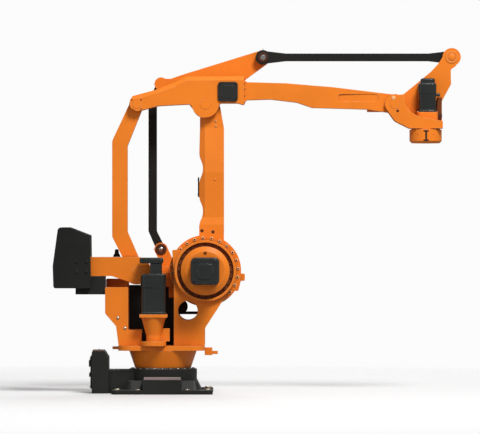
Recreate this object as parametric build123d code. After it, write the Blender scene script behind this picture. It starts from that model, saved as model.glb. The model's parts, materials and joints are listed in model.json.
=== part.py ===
from build123d import *
import os

os.makedirs("parts", exist_ok=True)

# A four-axis handling arm, in millimetres. The slewing axis stands at X = 0, Y = 0, the floor is
# Z = 0 and the arm reaches towards +X. The near side of the machine is -Y.

# Axes of the linkage, which is two parallelograms hung on one link
SHOULDER_X = 350.0        # shoulder axis ahead of the slewing axis
SHOULDER_Z = 1008.0       # shoulder axis above the floor
LINK_LENGTH = 1372.0      # shoulder axis to elbow axis
CRANK_LENGTH = 565.0      # shoulder axis to the push rod's lower pivot
ARM_LENGTH = 1560.0       # elbow axis to wrist axis
LEVEL_BACK = 370.0        # levelling rod's pivots behind the shoulder and elbow axes
LEVEL_UP = 174.0          # and above them
TOP_AHEAD = 475.0         # upper rod's pivots ahead of the elbow and wrist axes
TOP_UP = 392.0            # and above them
TOOL_AHEAD = 256.0        # tool axis ahead of the wrist axis
TOOL_DROP = 322.0         # tool face below the wrist axis

# Clearances
PIN_CLEARANCE = 0.05      # radial, of every pin in its eye
SIDE_GAP = 5.0            # between an eye and the cheeks beside it
TURN_GAP = 0.3            # between faces that turn on each other

# Widths across the machine, measured from the middle plane
ROD_HALF = 55.0           # half the push rod's width
FORK_THICK = 65.0         # each cheek of the crank's fork
ARM_HALF = 120.0          # half the elbow casting's width
LINK_EYE_HALF = 60.0      # half the link's upper eye
LINK_HALF = 110.0         # half the link's box
HUB_SPLIT = 10.0          # the link's hub lies this far on the near side, the crank's on the far
HUB_THICK = 55.0          # each disc of the link's hub
WALL_INNER = 134.0        # inner face of the column's walls
WALL_THICK = 60.0
UPPER_ROD_NEAR = 138.0    # near face of the upper rod's eyes
ROD_EYE_THICK = 56.0      # thickness of the eyes of both slim rods
ROCKER_THICK = 40.0
PANEL_WALL = 12.0         # closing panel between the far leg and the far cheek

# Pins
ELBOW_PIN_R = 45.0
PUSH_PIN_R = 36.0
WRIST_PIN_R = 40.0
SLIM_PIN_R = 22.0
PIN_PROUD = 2.0           # how far the capped pins stand out of their cheeks

# Base
BASE_TOP = 200.0
DRUM_R = 280.0            # the base's drum, and the widest part of the column's cone
PLINTH_HALF = 315.0       # half the plinth's side at the foot plates
PLINTH_TOP = 106.0
PLINTH_CORNER = 60.0
FOOT_THICK = 34.0
FOOT_X = 412.0            # reach of the foot plates
FOOT_Y = 430.0
FOOT_INNER_X = 160.0
FOOT_INNER_Y = 175.0
FOOT_CORNER = 30.0
ANCHOR_R = 13.5           # anchor bolt holes
ANCHOR_X, ANCHOR_Y = 370.0, 385.0
ANCHOR_INNER_X, ANCHOR_INNER_Y = 200.0, 225.0
SIDE_BOX_TOP = 120.0
DECK_TOP = 194.0          # duct from the drum to the junction box
DECK_HALF = 150.0
BOX_FRONT = -446.0        # junction box
BOX_STEP = -478.0
BOX_BACK = -583.0
BOX_SHOULDER_Z = 296.0
BOX_TOP = 346.0
BOX_HALF = 190.0
PANEL_THICK = 12.0
BEARING_R = 225.0
BEARING_BORE = 150.0
CONE_BOTTOM = 211.0
CONE_BOTTOM_R = 231.0

# Column
FLOOR_BOTTOM = 353.0      # underside of the column's floor plate
FLOOR_TOP = 393.0
FLOOR_BACK, FLOOR_FRONT = -366.0, 344.0
FLOOR_HALF = 270.0
LUG_HALF = 60.0           # lifting lugs
REAR_LUG_REACH = 50.0
REAR_LUG_BOTTOM, REAR_LUG_TOP = 361.0, 382.0
FRONT_LUG_REACH = 63.0
FRONT_LUG_BOTTOM, FRONT_LUG_TOP = 312.0, 374.0
FINGER_REACH = 45.0       # slewing stop finger on the front lug
FINGER_HALF = 25.0
FINGER_BOTTOM, FINGER_TOP = 320.0, 346.0
HEAD_R = 252.0            # round head of each cheek, about the shoulder axis
HEAD_RIM = 233.0          # inside of the head's raised rim
HEAD_RAISE = 40.0
CHEEK_BACK = 92.0
FAR_CHEEK_BACK = 46.0
FAR_LEDGE = 17.0          # ledge of the far cheek above the shoulder axis
CHEEK_FRONT = 346.0
CHEEK_BEND_Z = 535.0
EAR_TOP = 172.0           # ear of the near cheek above the shoulder axis
WINDOW_X, WINDOW_Z, WINDOW_R = 207.0, 681.0, 80.0
WEB_TOP = 590.0
LEG_BACK, LEG_FRONT = -473.0, -283.0
LEG_TOP = 873.0
FAR_LEG_TOP = 940.0
REAR_WALL_BACK, REAR_WALL_FRONT, REAR_WALL_TOP = -355.0, -300.0, 492.0
LEG_STEP_X, LEG_STEP_Z = -173.0, 522.0
PANEL_TOP, LAP_TOP = 888.0, 780.0         # closing panel, and its lap inside the far cheek
LAP_WALL = 6.0
GEAR_R = 200.0
GEAR_DEPTH = 95.0
GEAR_DISH = 26.0          # the gear's end face slopes up to its motor
GEAR_FACE_R = 160.0
MOTOR_SIDE = 232.0        # shoulder and elbow motors
MOTOR_LENGTH = 270.0
SLEW_X, SLEW_Y = -74.0, -245.0
SLEW_SIDE = 206.0
SLEW_BOTTOM, SLEW_TOP = 653.0, 1117.0
SLEW_PLUG_BOX = 47.0      # height of the plug box on the slewing motor
SLEW_NECK = 87.0          # height of the neck below it
SLEW_CAP = SLEW_TOP - SLEW_PLUG_BOX
SLEW_SHOULDER = SLEW_CAP - SLEW_NECK
SLEW_NECK_BACK, SLEW_NECK_FRONT = -28.0, 69.0
SLEW_CAP_BACK, SLEW_CAP_FRONT = -107.0, 74.0
BELL_GEAR_R, BELL_GEAR_TOP = 104.0, 430.0
BELL_NECK_R, BELL_NECK_TOP = 60.0, 480.0
BELL_MOUTH_R, BELL_FLANGE = 100.0, 627.0
BELL_BLOCK, BELL_BLOCK_TOP = 132.0, 536.0   # block beside the bell: its reach and top
LEDGE_BACK, LEDGE_BOTTOM, LEDGE_TOP = 10.0, -18.0, 32.0   # bracket's foot, from its pin and the shoulder

# Link, crank and counterweight
LINK_BACK, LINK_FRONT = -45.0, 153.0     # edges of the link's box from its axis line
WAVE_LOW, WAVE_HIGH = 489.0, 840.0       # shallow waves in its rear edge, above the shoulder
WAVE_RISE, WAVE_DEPTH, WAVE_ROUND = 100.0, 40.0, 150.0
LINK_TAPER = 370.0        # height over which the box narrows to the eye
LINK_EYE_DROP = 193.0
LINK_CHAMFER_X, LINK_CHAMFER_Y = 50.0, 30.0   # along its rear corners
LINK_CHAMFER_FOOT = 440.0
HUB_R = 294.0
HUB_CORNER_X, HUB_CORNER_Z = 271.0, -166.0   # corner that stands out of the hub's ring
CRANK_HUB_R = 190.0
FORK_R = 113.0            # round end of the crank's near cheek
CRANK_TOP = 112.0
CRANK_TAIL = -1195.0      # rear end of the crank from the shoulder axis
CRANK_FOOT = -44.0        # underside of the crank behind its slope
CRANK_SLOPE = -771.0
CRANK_WAIST = -15.0       # top of the crank between its fork and its hub
CRANK_SLOT = 215.0        # depth of the crank's fork ahead of the push rod's pivot
WEIGHT_BACK, WEIGHT_FRONT = -1254.0, -940.0
WEIGHT_THICK = 85.0
WEIGHT_FOLD, WEIGHT_SLOPE = -1057.0, 34.0   # the outer face slopes back behind the fold
CARRIER_FRONT, CARRIER_BACK = -824.0, -1068.0
CARRIER_BOTTOM = -195.0
BLOCK_FRONT, BLOCK_TOP = -1115.0, 150.0   # weight between the cheeks, behind the rod's swing

# Rods
PUSH_OFFSET = 140.0       # the push rod's shank lies this far behind its pivots
PUSH_SHANK = 127.0
PUSH_EYE_R = 62.0
PUSH_BEND_LOW, PUSH_BEND_HIGH = 305.0, 325.0
LEVEL_OFFSET = 70.0
LEVEL_SHANK = 70.0
LEVEL_EYE_R = 48.0
LEVEL_BEND = 150.0
UPPER_SHANK = 63.0
UPPER_EYE_R = 60.0
UPPER_FLARE = 190.0

# Arm and wrist
FORK_SLOT = 150.0         # depth of the arm's rear fork from the push rod's pivot
FORK_END = 56.0           # the fork's squared end behind the push rod's pivot
CASTING_CHAMFER = 30.0    # along the top of the elbow casting
ELBOW_R = 112.0
CASTING_FRONT = 318.0     # elbow axis to the face that the forearm is bolted to
ARM_SWEEP = 800.0         # taller than any outline of the arm
FOREARM_HALF = 100.0
TONGUE_HALF = 70.0
POCKET_X, POCKET_Z = 1259.0, 52.0         # long pocket in each side of the forearm
POCKET_LENGTH, POCKET_HEIGHT, POCKET_FLOOR = 330.0, 60.0, 66.0
PAD_BACK, PAD_FRONT, PAD_BOTTOM, PAD_HALF = 1333.0, 1453.0, -64.0, 45.0
WRIST_CHEEK = 40.0
WRIST_BOSS_R = 82.0
TOP_BOSS_R = 75.0
TOOL_R = 133.0
TOOL_THICK = 112.0
TOOL_PCD = 200.0
TOOL_HOLE_R = 8.0
TOOL_HOLES = 6
TOOL_HOLE_DEPTH = 24.0
TOOL_BORE_R = 62.5
TOOL_BORE_DEPTH = 10.0
TOOL_CHAMFER = 18.0
TOOL_NOTCH, TOOL_NOTCH_DEPTH = 9.0, 8.0
WRIST_MOTOR_AHEAD = 13.0  # motor's axis ahead of the tool axis
WRIST_MOTOR_SIDE = 148.0
WRIST_MOTOR_BOTTOM, WRIST_MOTOR_STEP, WRIST_MOTOR_TOP = -65.0, 172.0, 213.0
WRIST_CAP_SIDE = 116.0
WRIST_FOOT, WRIST_SEAT = -201.0, -153.0   # underside of the wrist's casting, and the collar's seat

# Places that follow from these sizes
ELBOW_X, ELBOW_Z = SHOULDER_X, SHOULDER_Z + LINK_LENGTH
WRIST_X, WRIST_Z = ELBOW_X + ARM_LENGTH, ELBOW_Z
PUSH_X = SHOULDER_X - CRANK_LENGTH
LEVEL_X, LEVEL_Z = SHOULDER_X - LEVEL_BACK, SHOULDER_Z + LEVEL_UP
TOOL_X = WRIST_X + TOOL_AHEAD
TOOL_FACE = WRIST_Z - TOOL_DROP
FORK_INNER = ROD_HALF + SIDE_GAP
FORK_OUTER = FORK_INNER + FORK_THICK
LINK_NEAR = HUB_SPLIT + 2 * HUB_THICK
WALL_OUTER = WALL_INNER + WALL_THICK
HEAD_OUTER = WALL_OUTER + HEAD_RAISE
UPPER_ROD_FAR = UPPER_ROD_NEAR + ROD_EYE_THICK
ROCKER_NEAR = UPPER_ROD_FAR + SIDE_GAP
ROCKER_FAR = ROCKER_NEAR + ROCKER_THICK
LEVEL_ROD_NEAR = ROCKER_FAR + SIDE_GAP
LEVEL_ROD_FAR = LEVEL_ROD_NEAR + ROD_EYE_THICK
WRIST_INNER = TONGUE_HALF + SIDE_GAP
WRIST_OUTER = WRIST_INNER + WRIST_CHEEK


def outline(*corners):
    """Closed outline from corners given as (across, up, corner radius)."""
    points = [(across, up) for across, up, _ in corners]
    radii = [radius for *_, radius in corners]
    return make_face(FilletPolyline(*points, radius=radii, close=True))


def plate(face, y_near, y_far):
    """A side outline, given its thickness across the machine."""
    return extrude(Plane.XZ.offset(-y_far) * face, y_far - y_near)


def disc(x, z, radius, y_near, y_far):
    """A round piece lying across the machine."""
    return plate(Pos(x, z) * Circle(radius), y_near, y_far)


def pin_hole(x, z, radius, reach=600.0):
    """The bore that a pin runs in."""
    return disc(x, z, radius + PIN_CLEARANCE, -reach, reach)


def upright(x, y, face, z_low, z_high):
    """A plan outline raised into a standing piece."""
    return extrude(Pos(x, y, z_low) * face, z_high - z_low)


def block(x_low, x_high, y_low, y_high, z_low, z_high):
    """A square-edged block between two corners."""
    centre = ((x_low + x_high) / 2, (y_low + y_high) / 2, (z_low + z_high) / 2)
    return Pos(*centre) * Box(x_high - x_low, y_high - y_low, z_high - z_low)


def base_frame():
    """Plinth, drum, foot plates, side boxes and the duct to the junction box."""
    plinth_side = 2 * PLINTH_HALF
    plinth = extrude(Pos(0, 0, FOOT_THICK) * RectangleRounded(plinth_side, plinth_side, PLINTH_CORNER),
                     PLINTH_TOP - FOOT_THICK, taper=25.0)
    body = plinth + upright(0, 0, RectangleRounded(plinth_side, plinth_side, PLINTH_CORNER), 0, FOOT_THICK)
    body += upright(0, 0, Circle(DRUM_R), FOOT_THICK, BASE_TOP)
    foot_x, foot_y = FOOT_X - FOOT_INNER_X, FOOT_Y - FOOT_INNER_Y
    for side_x in (-1, 1):
        for side_y in (-1, 1):
            foot = Polygon((0, 0), (foot_x, 0), (foot_x, foot_y - FOOT_CORNER), (foot_x - FOOT_CORNER, foot_y),
                           (0, foot_y), align=None)
            foot = upright(FOOT_INNER_X, FOOT_INNER_Y, foot, 0, FOOT_THICK)
            foot = foot if side_x > 0 else mirror(foot, Plane.YZ)
            body += foot if side_y > 0 else mirror(foot, Plane.XZ)
    body += block(-FOOT_INNER_X, FOOT_INNER_X, -FOOT_Y, FOOT_Y, 0, SIDE_BOX_TOP)
    body += block(BOX_FRONT, 0, -DECK_HALF, DECK_HALF, 0, DECK_TOP)
    for x, y in ((ANCHOR_X, ANCHOR_Y), (ANCHOR_INNER_X, ANCHOR_Y), (ANCHOR_X, ANCHOR_INNER_Y)):
        for side_x in (-1, 1):
            for side_y in (-1, 1):
                body -= upright(side_x * x, side_y * y, Circle(ANCHOR_R), -1, PLINTH_TOP)
    return body


def junction_box():
    """Box at the rear of the base where the supply lines plug in."""
    face = outline((BOX_BACK, 0, 0), (BOX_FRONT, 0, 0), (BOX_FRONT, BOX_SHOULDER_Z, 12),
                   (BOX_STEP, BOX_TOP, 12), (BOX_BACK, BOX_TOP, 12))
    return plate(face, -BOX_HALF, BOX_HALF)


def connector_panel():
    """Raised panel on the rear of the junction box."""
    margin = 40.0
    return block(BOX_BACK - PANEL_THICK, BOX_BACK, margin - BOX_HALF, BOX_HALF - margin,
                 margin, BOX_TOP - margin)


def slew_bearing():
    """Fixed ring of the slewing bearing."""
    return upright(0, 0, Circle(BEARING_R) - Circle(BEARING_BORE), BASE_TOP, CONE_BOTTOM - TURN_GAP)


def column_drum():
    """Turning cone and the floor plate that carries the walls."""
    cone = Pos(0, 0, (CONE_BOTTOM + FLOOR_BOTTOM) / 2) * Cone(CONE_BOTTOM_R, DRUM_R, FLOOR_BOTTOM - CONE_BOTTOM)
    floor_face = RectangleRounded(FLOOR_FRONT - FLOOR_BACK, 2 * FLOOR_HALF, 110.0)
    floor_plate = upright((FLOOR_FRONT + FLOOR_BACK) / 2, 0, floor_face, FLOOR_BOTTOM, FLOOR_TOP)
    return cone + floor_plate


def lifting_lugs():
    """Lugs at both ends of the floor plate, and the slewing stop finger."""
    rear = block(FLOOR_BACK - REAR_LUG_REACH, FLOOR_BACK, -LUG_HALF, LUG_HALF, REAR_LUG_BOTTOM, REAR_LUG_TOP)
    tip = FLOOR_FRONT + FRONT_LUG_REACH
    front = block(FLOOR_FRONT, tip, -LUG_HALF, LUG_HALF, FRONT_LUG_BOTTOM, FRONT_LUG_TOP)
    front += block(tip, tip + FINGER_REACH, -FINGER_HALF, FINGER_HALF, FINGER_BOTTOM, FINGER_TOP)
    return rear + front


def cheek(back, ear):
    """Side wall under the shoulder axis: foot, slope, round head and window."""
    foot = outline((back, FLOOR_TOP, 0), (CHEEK_FRONT, FLOOR_TOP, 0), (CHEEK_FRONT, CHEEK_BEND_Z, 60),
                   (SHOULDER_X + 194, SHOULDER_Z - 168, 0), (SHOULDER_X, SHOULDER_Z, 0), (back, ear, 0))
    face = foot + Pos(SHOULDER_X, SHOULDER_Z) * Circle(HEAD_R)
    face -= Pos(WINDOW_X, WINDOW_Z) * Circle(WINDOW_R)
    wall = plate(face, WALL_INNER, WALL_OUTER)
    rim = Pos(SHOULDER_X, SHOULDER_Z) * (Circle(HEAD_R) - Circle(HEAD_RIM))
    return wall + plate(rim, WALL_OUTER, HEAD_OUTER)


def near_cheek():
    """Near wall, with an ear at its upper rear corner."""
    ear = outline((CHEEK_BACK - 14, SHOULDER_Z + EAR_TOP, 10), (CHEEK_BACK, SHOULDER_Z - 60, 0),
                  (SHOULDER_X, SHOULDER_Z, 0), (SHOULDER_X - 185, SHOULDER_Z + EAR_TOP, 0))
    return mirror(cheek(CHEEK_BACK, SHOULDER_Z) + plate(ear, WALL_INNER, WALL_OUTER), Plane.XZ)


def far_cheek():
    """Far wall, with a ledge at its rear edge for the levelling bracket."""
    return cheek(FAR_CHEEK_BACK, SHOULDER_Z + FAR_LEDGE)


def rear_leg(top):
    """Rear wall of one side of the column."""
    face = outline((-362, FLOOR_TOP, 0), (-383, 553, 0), (LEG_BACK, 658, 20), (LEG_BACK, top, 12),
                   (LEG_FRONT, top, 12), (LEG_FRONT, LEG_STEP_Z, 10), (LEG_STEP_X, LEG_STEP_Z, 12),
                   (LEG_STEP_X, FLOOR_TOP, 0))
    return plate(face, WALL_INNER, WALL_OUTER)


def front_web():
    """Cross wall that joins the two cheeks under the link's hub."""
    face = outline((CHEEK_BACK + 20, FLOOR_TOP, 0), (CHEEK_FRONT - 10, FLOOR_TOP, 0),
                   (CHEEK_FRONT - 10, CHEEK_BEND_Z, 0), (CHEEK_FRONT + 20, WEB_TOP, 10), (CHEEK_BACK + 20, WEB_TOP, 20))
    return plate(face, -WALL_INNER, WALL_INNER)


def rear_web():
    """Cross wall between the rear legs, and the panel that closes the far side up to the cheek."""
    wall = block(REAR_WALL_BACK, REAR_WALL_FRONT, -WALL_INNER, WALL_INNER, FLOOR_TOP, REAR_WALL_TOP)
    skirt = block(REAR_WALL_FRONT, FAR_CHEEK_BACK, WALL_INNER - PANEL_WALL, WALL_INNER, FLOOR_TOP, REAR_WALL_TOP)
    face = outline((LEG_STEP_X, FLOOR_TOP, 0), (FAR_CHEEK_BACK, FLOOR_TOP, 0), (FAR_CHEEK_BACK, PANEL_TOP, 0),
                   (LEG_FRONT, PANEL_TOP, 0), (LEG_FRONT, LEG_STEP_Z, 10), (LEG_STEP_X, LEG_STEP_Z, 12))
    lap = block(FAR_CHEEK_BACK - 20, CHEEK_BACK, WALL_INNER - LAP_WALL, WALL_INNER, FLOOR_TOP, LAP_TOP)
    return wall + skirt + lap + plate(face, WALL_INNER, WALL_INNER + PANEL_WALL)


def drive_gear():
    """Gear unit in the round head of a cheek."""
    seat = disc(SHOULDER_X, SHOULDER_Z, HEAD_RIM - 3, WALL_OUTER, WALL_OUTER + 12)
    rim = WALL_OUTER + GEAR_DEPTH - GEAR_DISH
    dish = Pos(SHOULDER_X, rim + GEAR_DISH / 2, SHOULDER_Z) * Rot(X=-90) * Cone(GEAR_R, GEAR_FACE_R, GEAR_DISH)
    return seat + disc(SHOULDER_X, SHOULDER_Z, GEAR_R, WALL_OUTER, rim) + dish


def drive_motor():
    """Motor on the gear unit."""
    face = Pos(SHOULDER_X, SHOULDER_Z) * RectangleRounded(MOTOR_SIDE, MOTOR_SIDE - 12, 36)
    start = WALL_OUTER + GEAR_DEPTH
    return plate(face, start, start + MOTOR_LENGTH)


def slew_bell():
    """Coupling bell between the slewing motor and its gear, with the block beside it."""
    gear = upright(SLEW_X, SLEW_Y, Circle(BELL_GEAR_R), FLOOR_TOP, BELL_GEAR_TOP)
    neck = upright(SLEW_X, SLEW_Y, Circle(BELL_NECK_R), BELL_GEAR_TOP, BELL_NECK_TOP)
    taper = Cone(BELL_NECK_R, BELL_MOUTH_R, BELL_FLANGE - BELL_NECK_TOP)
    taper = Pos(SLEW_X, SLEW_Y, (BELL_NECK_TOP + BELL_FLANGE) / 2) * taper
    flange = upright(SLEW_X, SLEW_Y, Rectangle(SLEW_SIDE + 20, SLEW_SIDE + 6), BELL_FLANGE, SLEW_BOTTOM)
    side = block(SLEW_X, SLEW_X + BELL_BLOCK, SLEW_Y, SLEW_Y + BELL_NECK_R, BELL_GEAR_TOP, BELL_BLOCK_TOP)
    return gear + neck + taper + flange + side


def slew_motor():
    """Upright motor that slews the column, with its plug box on top."""
    body = upright(SLEW_X, SLEW_Y, RectangleRounded(SLEW_SIDE, SLEW_SIDE, 36), SLEW_BOTTOM, SLEW_SHOULDER)
    half = SLEW_SIDE / 2 - 22
    body += block(SLEW_X + SLEW_NECK_BACK, SLEW_X + SLEW_NECK_FRONT, SLEW_Y - half, SLEW_Y + half,
                  SLEW_SHOULDER, SLEW_CAP)
    return body + block(SLEW_X + SLEW_CAP_BACK, SLEW_X + SLEW_CAP_FRONT, SLEW_Y - half, SLEW_Y + half,
                        SLEW_CAP, SLEW_TOP)


def levelling_bracket():
    """Bracket on the far cheek's ledge, with the levelling rod's lower pin."""
    foot_z = SHOULDER_Z - 80
    face = outline((FAR_CHEEK_BACK, foot_z, 0), (CHEEK_BACK, foot_z, 0), (CHEEK_BACK, SHOULDER_Z + 60, 30),
                   (LEVEL_X + 50, LEVEL_Z + 20, 0), (LEVEL_X - 45, LEVEL_Z - 30, 0))
    body = plate(face + Pos(LEVEL_X, LEVEL_Z) * Circle(55), WALL_OUTER, ROCKER_FAR)
    body += block(LEVEL_X + LEDGE_BACK, FAR_CHEEK_BACK, WALL_INNER + 6, ROCKER_FAR,
                  SHOULDER_Z + LEDGE_BOTTOM, SHOULDER_Z + LEDGE_TOP)
    return body + disc(LEVEL_X, LEVEL_Z, SLIM_PIN_R, ROCKER_FAR, LEVEL_ROD_FAR + 8)


def link_front_view():
    """The link seen from the front: a foot on the near side and a box that narrows to the eye."""
    low, high = SHOULDER_Z + HUB_R + 26, ELBOW_Z - LINK_EYE_DROP
    foot = SHOULDER_Z - HUB_R - 60
    return outline((-LINK_NEAR, foot, 0), (-LINK_NEAR, low + 60, 0), (-LINK_HALF, low + 120, 0),
                   (-LINK_HALF, high - LINK_TAPER, 60), (-LINK_EYE_HALF, high, 60),
                   (-LINK_EYE_HALF, ELBOW_Z + 200, 0), (LINK_EYE_HALF, ELBOW_Z + 200, 0),
                   (LINK_EYE_HALF, high, 60), (LINK_HALF, high - LINK_TAPER, 60), (LINK_HALF, low, 20),
                   (-HUB_SPLIT - HUB_THICK, low, 20), (-HUB_SPLIT - HUB_THICK, foot, 0))


def link_corner(back):
    """What the near rear corner of the link's box loses to its long chamfer."""
    high = ELBOW_Z - LINK_EYE_DROP
    levels = ((SHOULDER_Z + LINK_CHAMFER_FOOT, LINK_HALF), (high - LINK_TAPER, LINK_HALF),
              (high, LINK_EYE_HALF), (ELBOW_Z - ELBOW_R, LINK_EYE_HALF))
    face = Polygon((-1, -1), (LINK_CHAMFER_X, -1), (-1, LINK_CHAMFER_Y), align=None)
    return loft([Pos(back, -half, height) * face for height, half in levels], ruled=True)


def link_arm():
    """Link casting from the shoulder ring to the elbow eye."""
    back, front = SHOULDER_X + LINK_BACK, SHOULDER_X + LINK_FRONT
    wave, low, high = back - 6, SHOULDER_Z + WAVE_LOW, SHOULDER_Z + WAVE_HIGH
    side = outline((wave, SHOULDER_Z, 0), (wave, low - WAVE_RISE, WAVE_ROUND),
                   (back + WAVE_DEPTH, low, WAVE_ROUND), (wave, low + WAVE_RISE, WAVE_ROUND),
                   (wave, high - WAVE_RISE, WAVE_ROUND), (back + WAVE_DEPTH, high, WAVE_ROUND),
                   (wave, high + WAVE_RISE, WAVE_ROUND), (back, ELBOW_Z - LINK_EYE_DROP, 0), (back, ELBOW_Z, 0),
                   (ELBOW_X + ELBOW_R + 6, ELBOW_Z, 30), (front, ELBOW_Z - 195, 60), (front, SHOULDER_Z, 0))
    side += Pos(ELBOW_X, ELBOW_Z) * Circle(ELBOW_R)
    body = plate(side, -LINK_NEAR, LINK_NEAR)
    front_cut = Plane.YZ.offset(-LINK_LENGTH) * link_front_view()
    body = body & extrude(front_cut, 3 * LINK_LENGTH)
    bevel = link_corner(wave)
    body -= bevel + mirror(bevel, Plane.XZ)
    corner = outline((HUB_CORNER_X - 120, HUB_CORNER_Z, 0), (HUB_CORNER_X, HUB_CORNER_Z, 12),
                     (HUB_R - 2, HUB_CORNER_Z / 2, 0), (0, 0, 0))
    ring = Pos(SHOULDER_X, SHOULDER_Z) * (Circle(HUB_R) + corner)
    body += plate(ring, -LINK_NEAR, -HUB_SPLIT - HUB_THICK)
    return body - pin_hole(ELBOW_X, ELBOW_Z, ELBOW_PIN_R - PIN_CLEARANCE)


def link_hub():
    """Inner disc of the link's hub, with its stop lug."""
    lug = outline((150, -90, 0), (HUB_R + 31, -83, 8), (HUB_R + 31, -26, 8), (150, -10, 0))
    face = Circle(HUB_R) + lug
    return plate(Pos(SHOULDER_X, SHOULDER_Z) * face, -HUB_SPLIT - HUB_THICK, -HUB_SPLIT)


def elbow_pin():
    """Pin fixed in the link's eye, on which the arm and the rocker turn."""
    pin = disc(ELBOW_X, ELBOW_Z, ELBOW_PIN_R, -ARM_HALF - PIN_PROUD, ROCKER_FAR + 8)
    return pin + disc(ELBOW_X, ELBOW_Z, ELBOW_PIN_R + 15, ARM_HALF + SIDE_GAP, ROCKER_NEAR - SIDE_GAP)


def crank_lever():
    """Far lever of the crank: hub, lever and the far cheek of the fork."""
    lever = outline((CRANK_TAIL, CRANK_TOP, 12), (CRANK_TAIL, CRANK_FOOT, 12), (CRANK_SLOPE, CRANK_FOOT, 30),
                    (-CRANK_LENGTH, -FORK_R, 40), (-120, -150, 0), (0, 0, 0),
                    (-CRANK_HUB_R - 60, CRANK_WAIST, 60), (FORK_R - CRANK_LENGTH, CRANK_WAIST, 40),
                    (-CRANK_LENGTH, CRANK_TOP, 0))
    face = Pos(SHOULDER_X, SHOULDER_Z) * (lever + Circle(CRANK_HUB_R) + Pos(-CRANK_LENGTH, 0) * Circle(FORK_R))
    body = plate(face, HUB_SPLIT, FORK_OUTER)
    body -= block(SHOULDER_X + CRANK_TAIL, PUSH_X + CRANK_SLOT, HUB_SPLIT, FORK_INNER,
                  SHOULDER_Z - HUB_R, SHOULDER_Z + HUB_R)
    return body - pin_hole(PUSH_X, SHOULDER_Z, PUSH_PIN_R)


def crank_cheek():
    """Near cheek of the crank's fork, with a round end about the push rod's pivot."""
    bar = outline((CRANK_TAIL, CRANK_TOP, 12), (CRANK_TAIL, CRANK_FOOT, 12), (CRANK_SLOPE, CRANK_FOOT, 30),
                  (-CRANK_LENGTH, -FORK_R + 1, 0), (-CRANK_LENGTH, CRANK_TOP, 0))
    face = bar + Pos(-CRANK_LENGTH, 0) * Circle(FORK_R)
    body = plate(Pos(SHOULDER_X, SHOULDER_Z) * face, -FORK_OUTER, -FORK_INNER)
    return body - pin_hole(PUSH_X, SHOULDER_Z, PUSH_PIN_R)


def counterweight():
    """Counterweight bolted to the outside of one crank cheek."""
    face = outline((WEIGHT_FRONT, -144, 10), (WEIGHT_FRONT - 5, 291, 10), (-1115, 357, 25), (-1210, 357, 30),
                   (WEIGHT_BACK, 39, 120), (WEIGHT_BACK + 6, -144, 20))
    outer = FORK_OUTER + WEIGHT_THICK
    plan = Polygon((WEIGHT_BACK - 20, FORK_OUTER), (WEIGHT_FRONT + 20, FORK_OUTER), (WEIGHT_FRONT + 20, outer),
                   (WEIGHT_FOLD, outer), (WEIGHT_BACK - 20, outer - WEIGHT_SLOPE), align=None)
    body = plate(face, FORK_OUTER, outer) & extrude(Pos(0, 0, -500) * plan, 1000)
    return Pos(SHOULDER_X, 0, SHOULDER_Z) * body


def counterweight_carrier():
    """Beam that ties the cheeks together under the push rod's swing."""
    beam = block(CARRIER_BACK, CARRIER_FRONT, -FORK_OUTER, FORK_OUTER, CARRIER_BOTTOM, CRANK_FOOT)
    return Pos(SHOULDER_X, 0, SHOULDER_Z) * beam


def counterweight_block():
    """Weight between the two cheeks, low enough for the push rod to swing over it."""
    weight = block(WEIGHT_BACK + 20, BLOCK_FRONT, -FORK_INNER, FORK_INNER, CRANK_FOOT, BLOCK_TOP)
    return Pos(SHOULDER_X, 0, SHOULDER_Z) * weight


def push_rod_pin():
    """Pin of the push rod's lower pivot."""
    return disc(PUSH_X, SHOULDER_Z, PUSH_PIN_R, -FORK_OUTER - PIN_PROUD, FORK_OUTER + PIN_PROUD)


def push_rod():
    """Cranked push rod: its shank stands behind the line of its pivots."""
    inner, outer = -PUSH_OFFSET + PUSH_SHANK / 2, -PUSH_OFFSET - PUSH_SHANK / 2
    top = LINK_LENGTH - PUSH_BEND_HIGH
    face = outline((PUSH_EYE_R, 0, 0), (inner, PUSH_BEND_LOW + 15, 60), (inner, top - 20, 60),
                   (PUSH_EYE_R, LINK_LENGTH, 0), (-PUSH_EYE_R, LINK_LENGTH, 0), (outer, top + 22, 60),
                   (outer, PUSH_BEND_LOW - 25, 60), (-PUSH_EYE_R, 0, 0))
    for height in (0, LINK_LENGTH):
        face += Pos(0, height) * Circle(PUSH_EYE_R)
    body = plate(Pos(PUSH_X, SHOULDER_Z) * face, -ROD_HALF, ROD_HALF)
    for height in (SHOULDER_Z, ELBOW_Z):
        body -= pin_hole(PUSH_X, height, PUSH_PIN_R)
    return body


def levelling_rod():
    """Slim rod that keeps the rocker level."""
    inner, outer = -LEVEL_OFFSET + LEVEL_SHANK / 2, -LEVEL_OFFSET - LEVEL_SHANK / 2
    face = outline((LEVEL_EYE_R - 8, 0, 0), (inner, LEVEL_BEND, 40), (inner, LINK_LENGTH - LEVEL_BEND, 40),
                   (LEVEL_EYE_R - 8, LINK_LENGTH, 0), (8 - LEVEL_EYE_R, LINK_LENGTH, 0),
                   (outer, LINK_LENGTH - LEVEL_BEND, 40), (outer, LEVEL_BEND, 40), (8 - LEVEL_EYE_R, 0, 0))
    for height in (0, LINK_LENGTH):
        face += Pos(0, height) * Circle(LEVEL_EYE_R)
    body = plate(Pos(LEVEL_X, LEVEL_Z) * face, LEVEL_ROD_NEAR, LEVEL_ROD_FAR)
    for height in (LEVEL_Z, LEVEL_Z + LINK_LENGTH):
        body -= pin_hole(LEVEL_X, height, SLIM_PIN_R)
    return body


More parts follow.
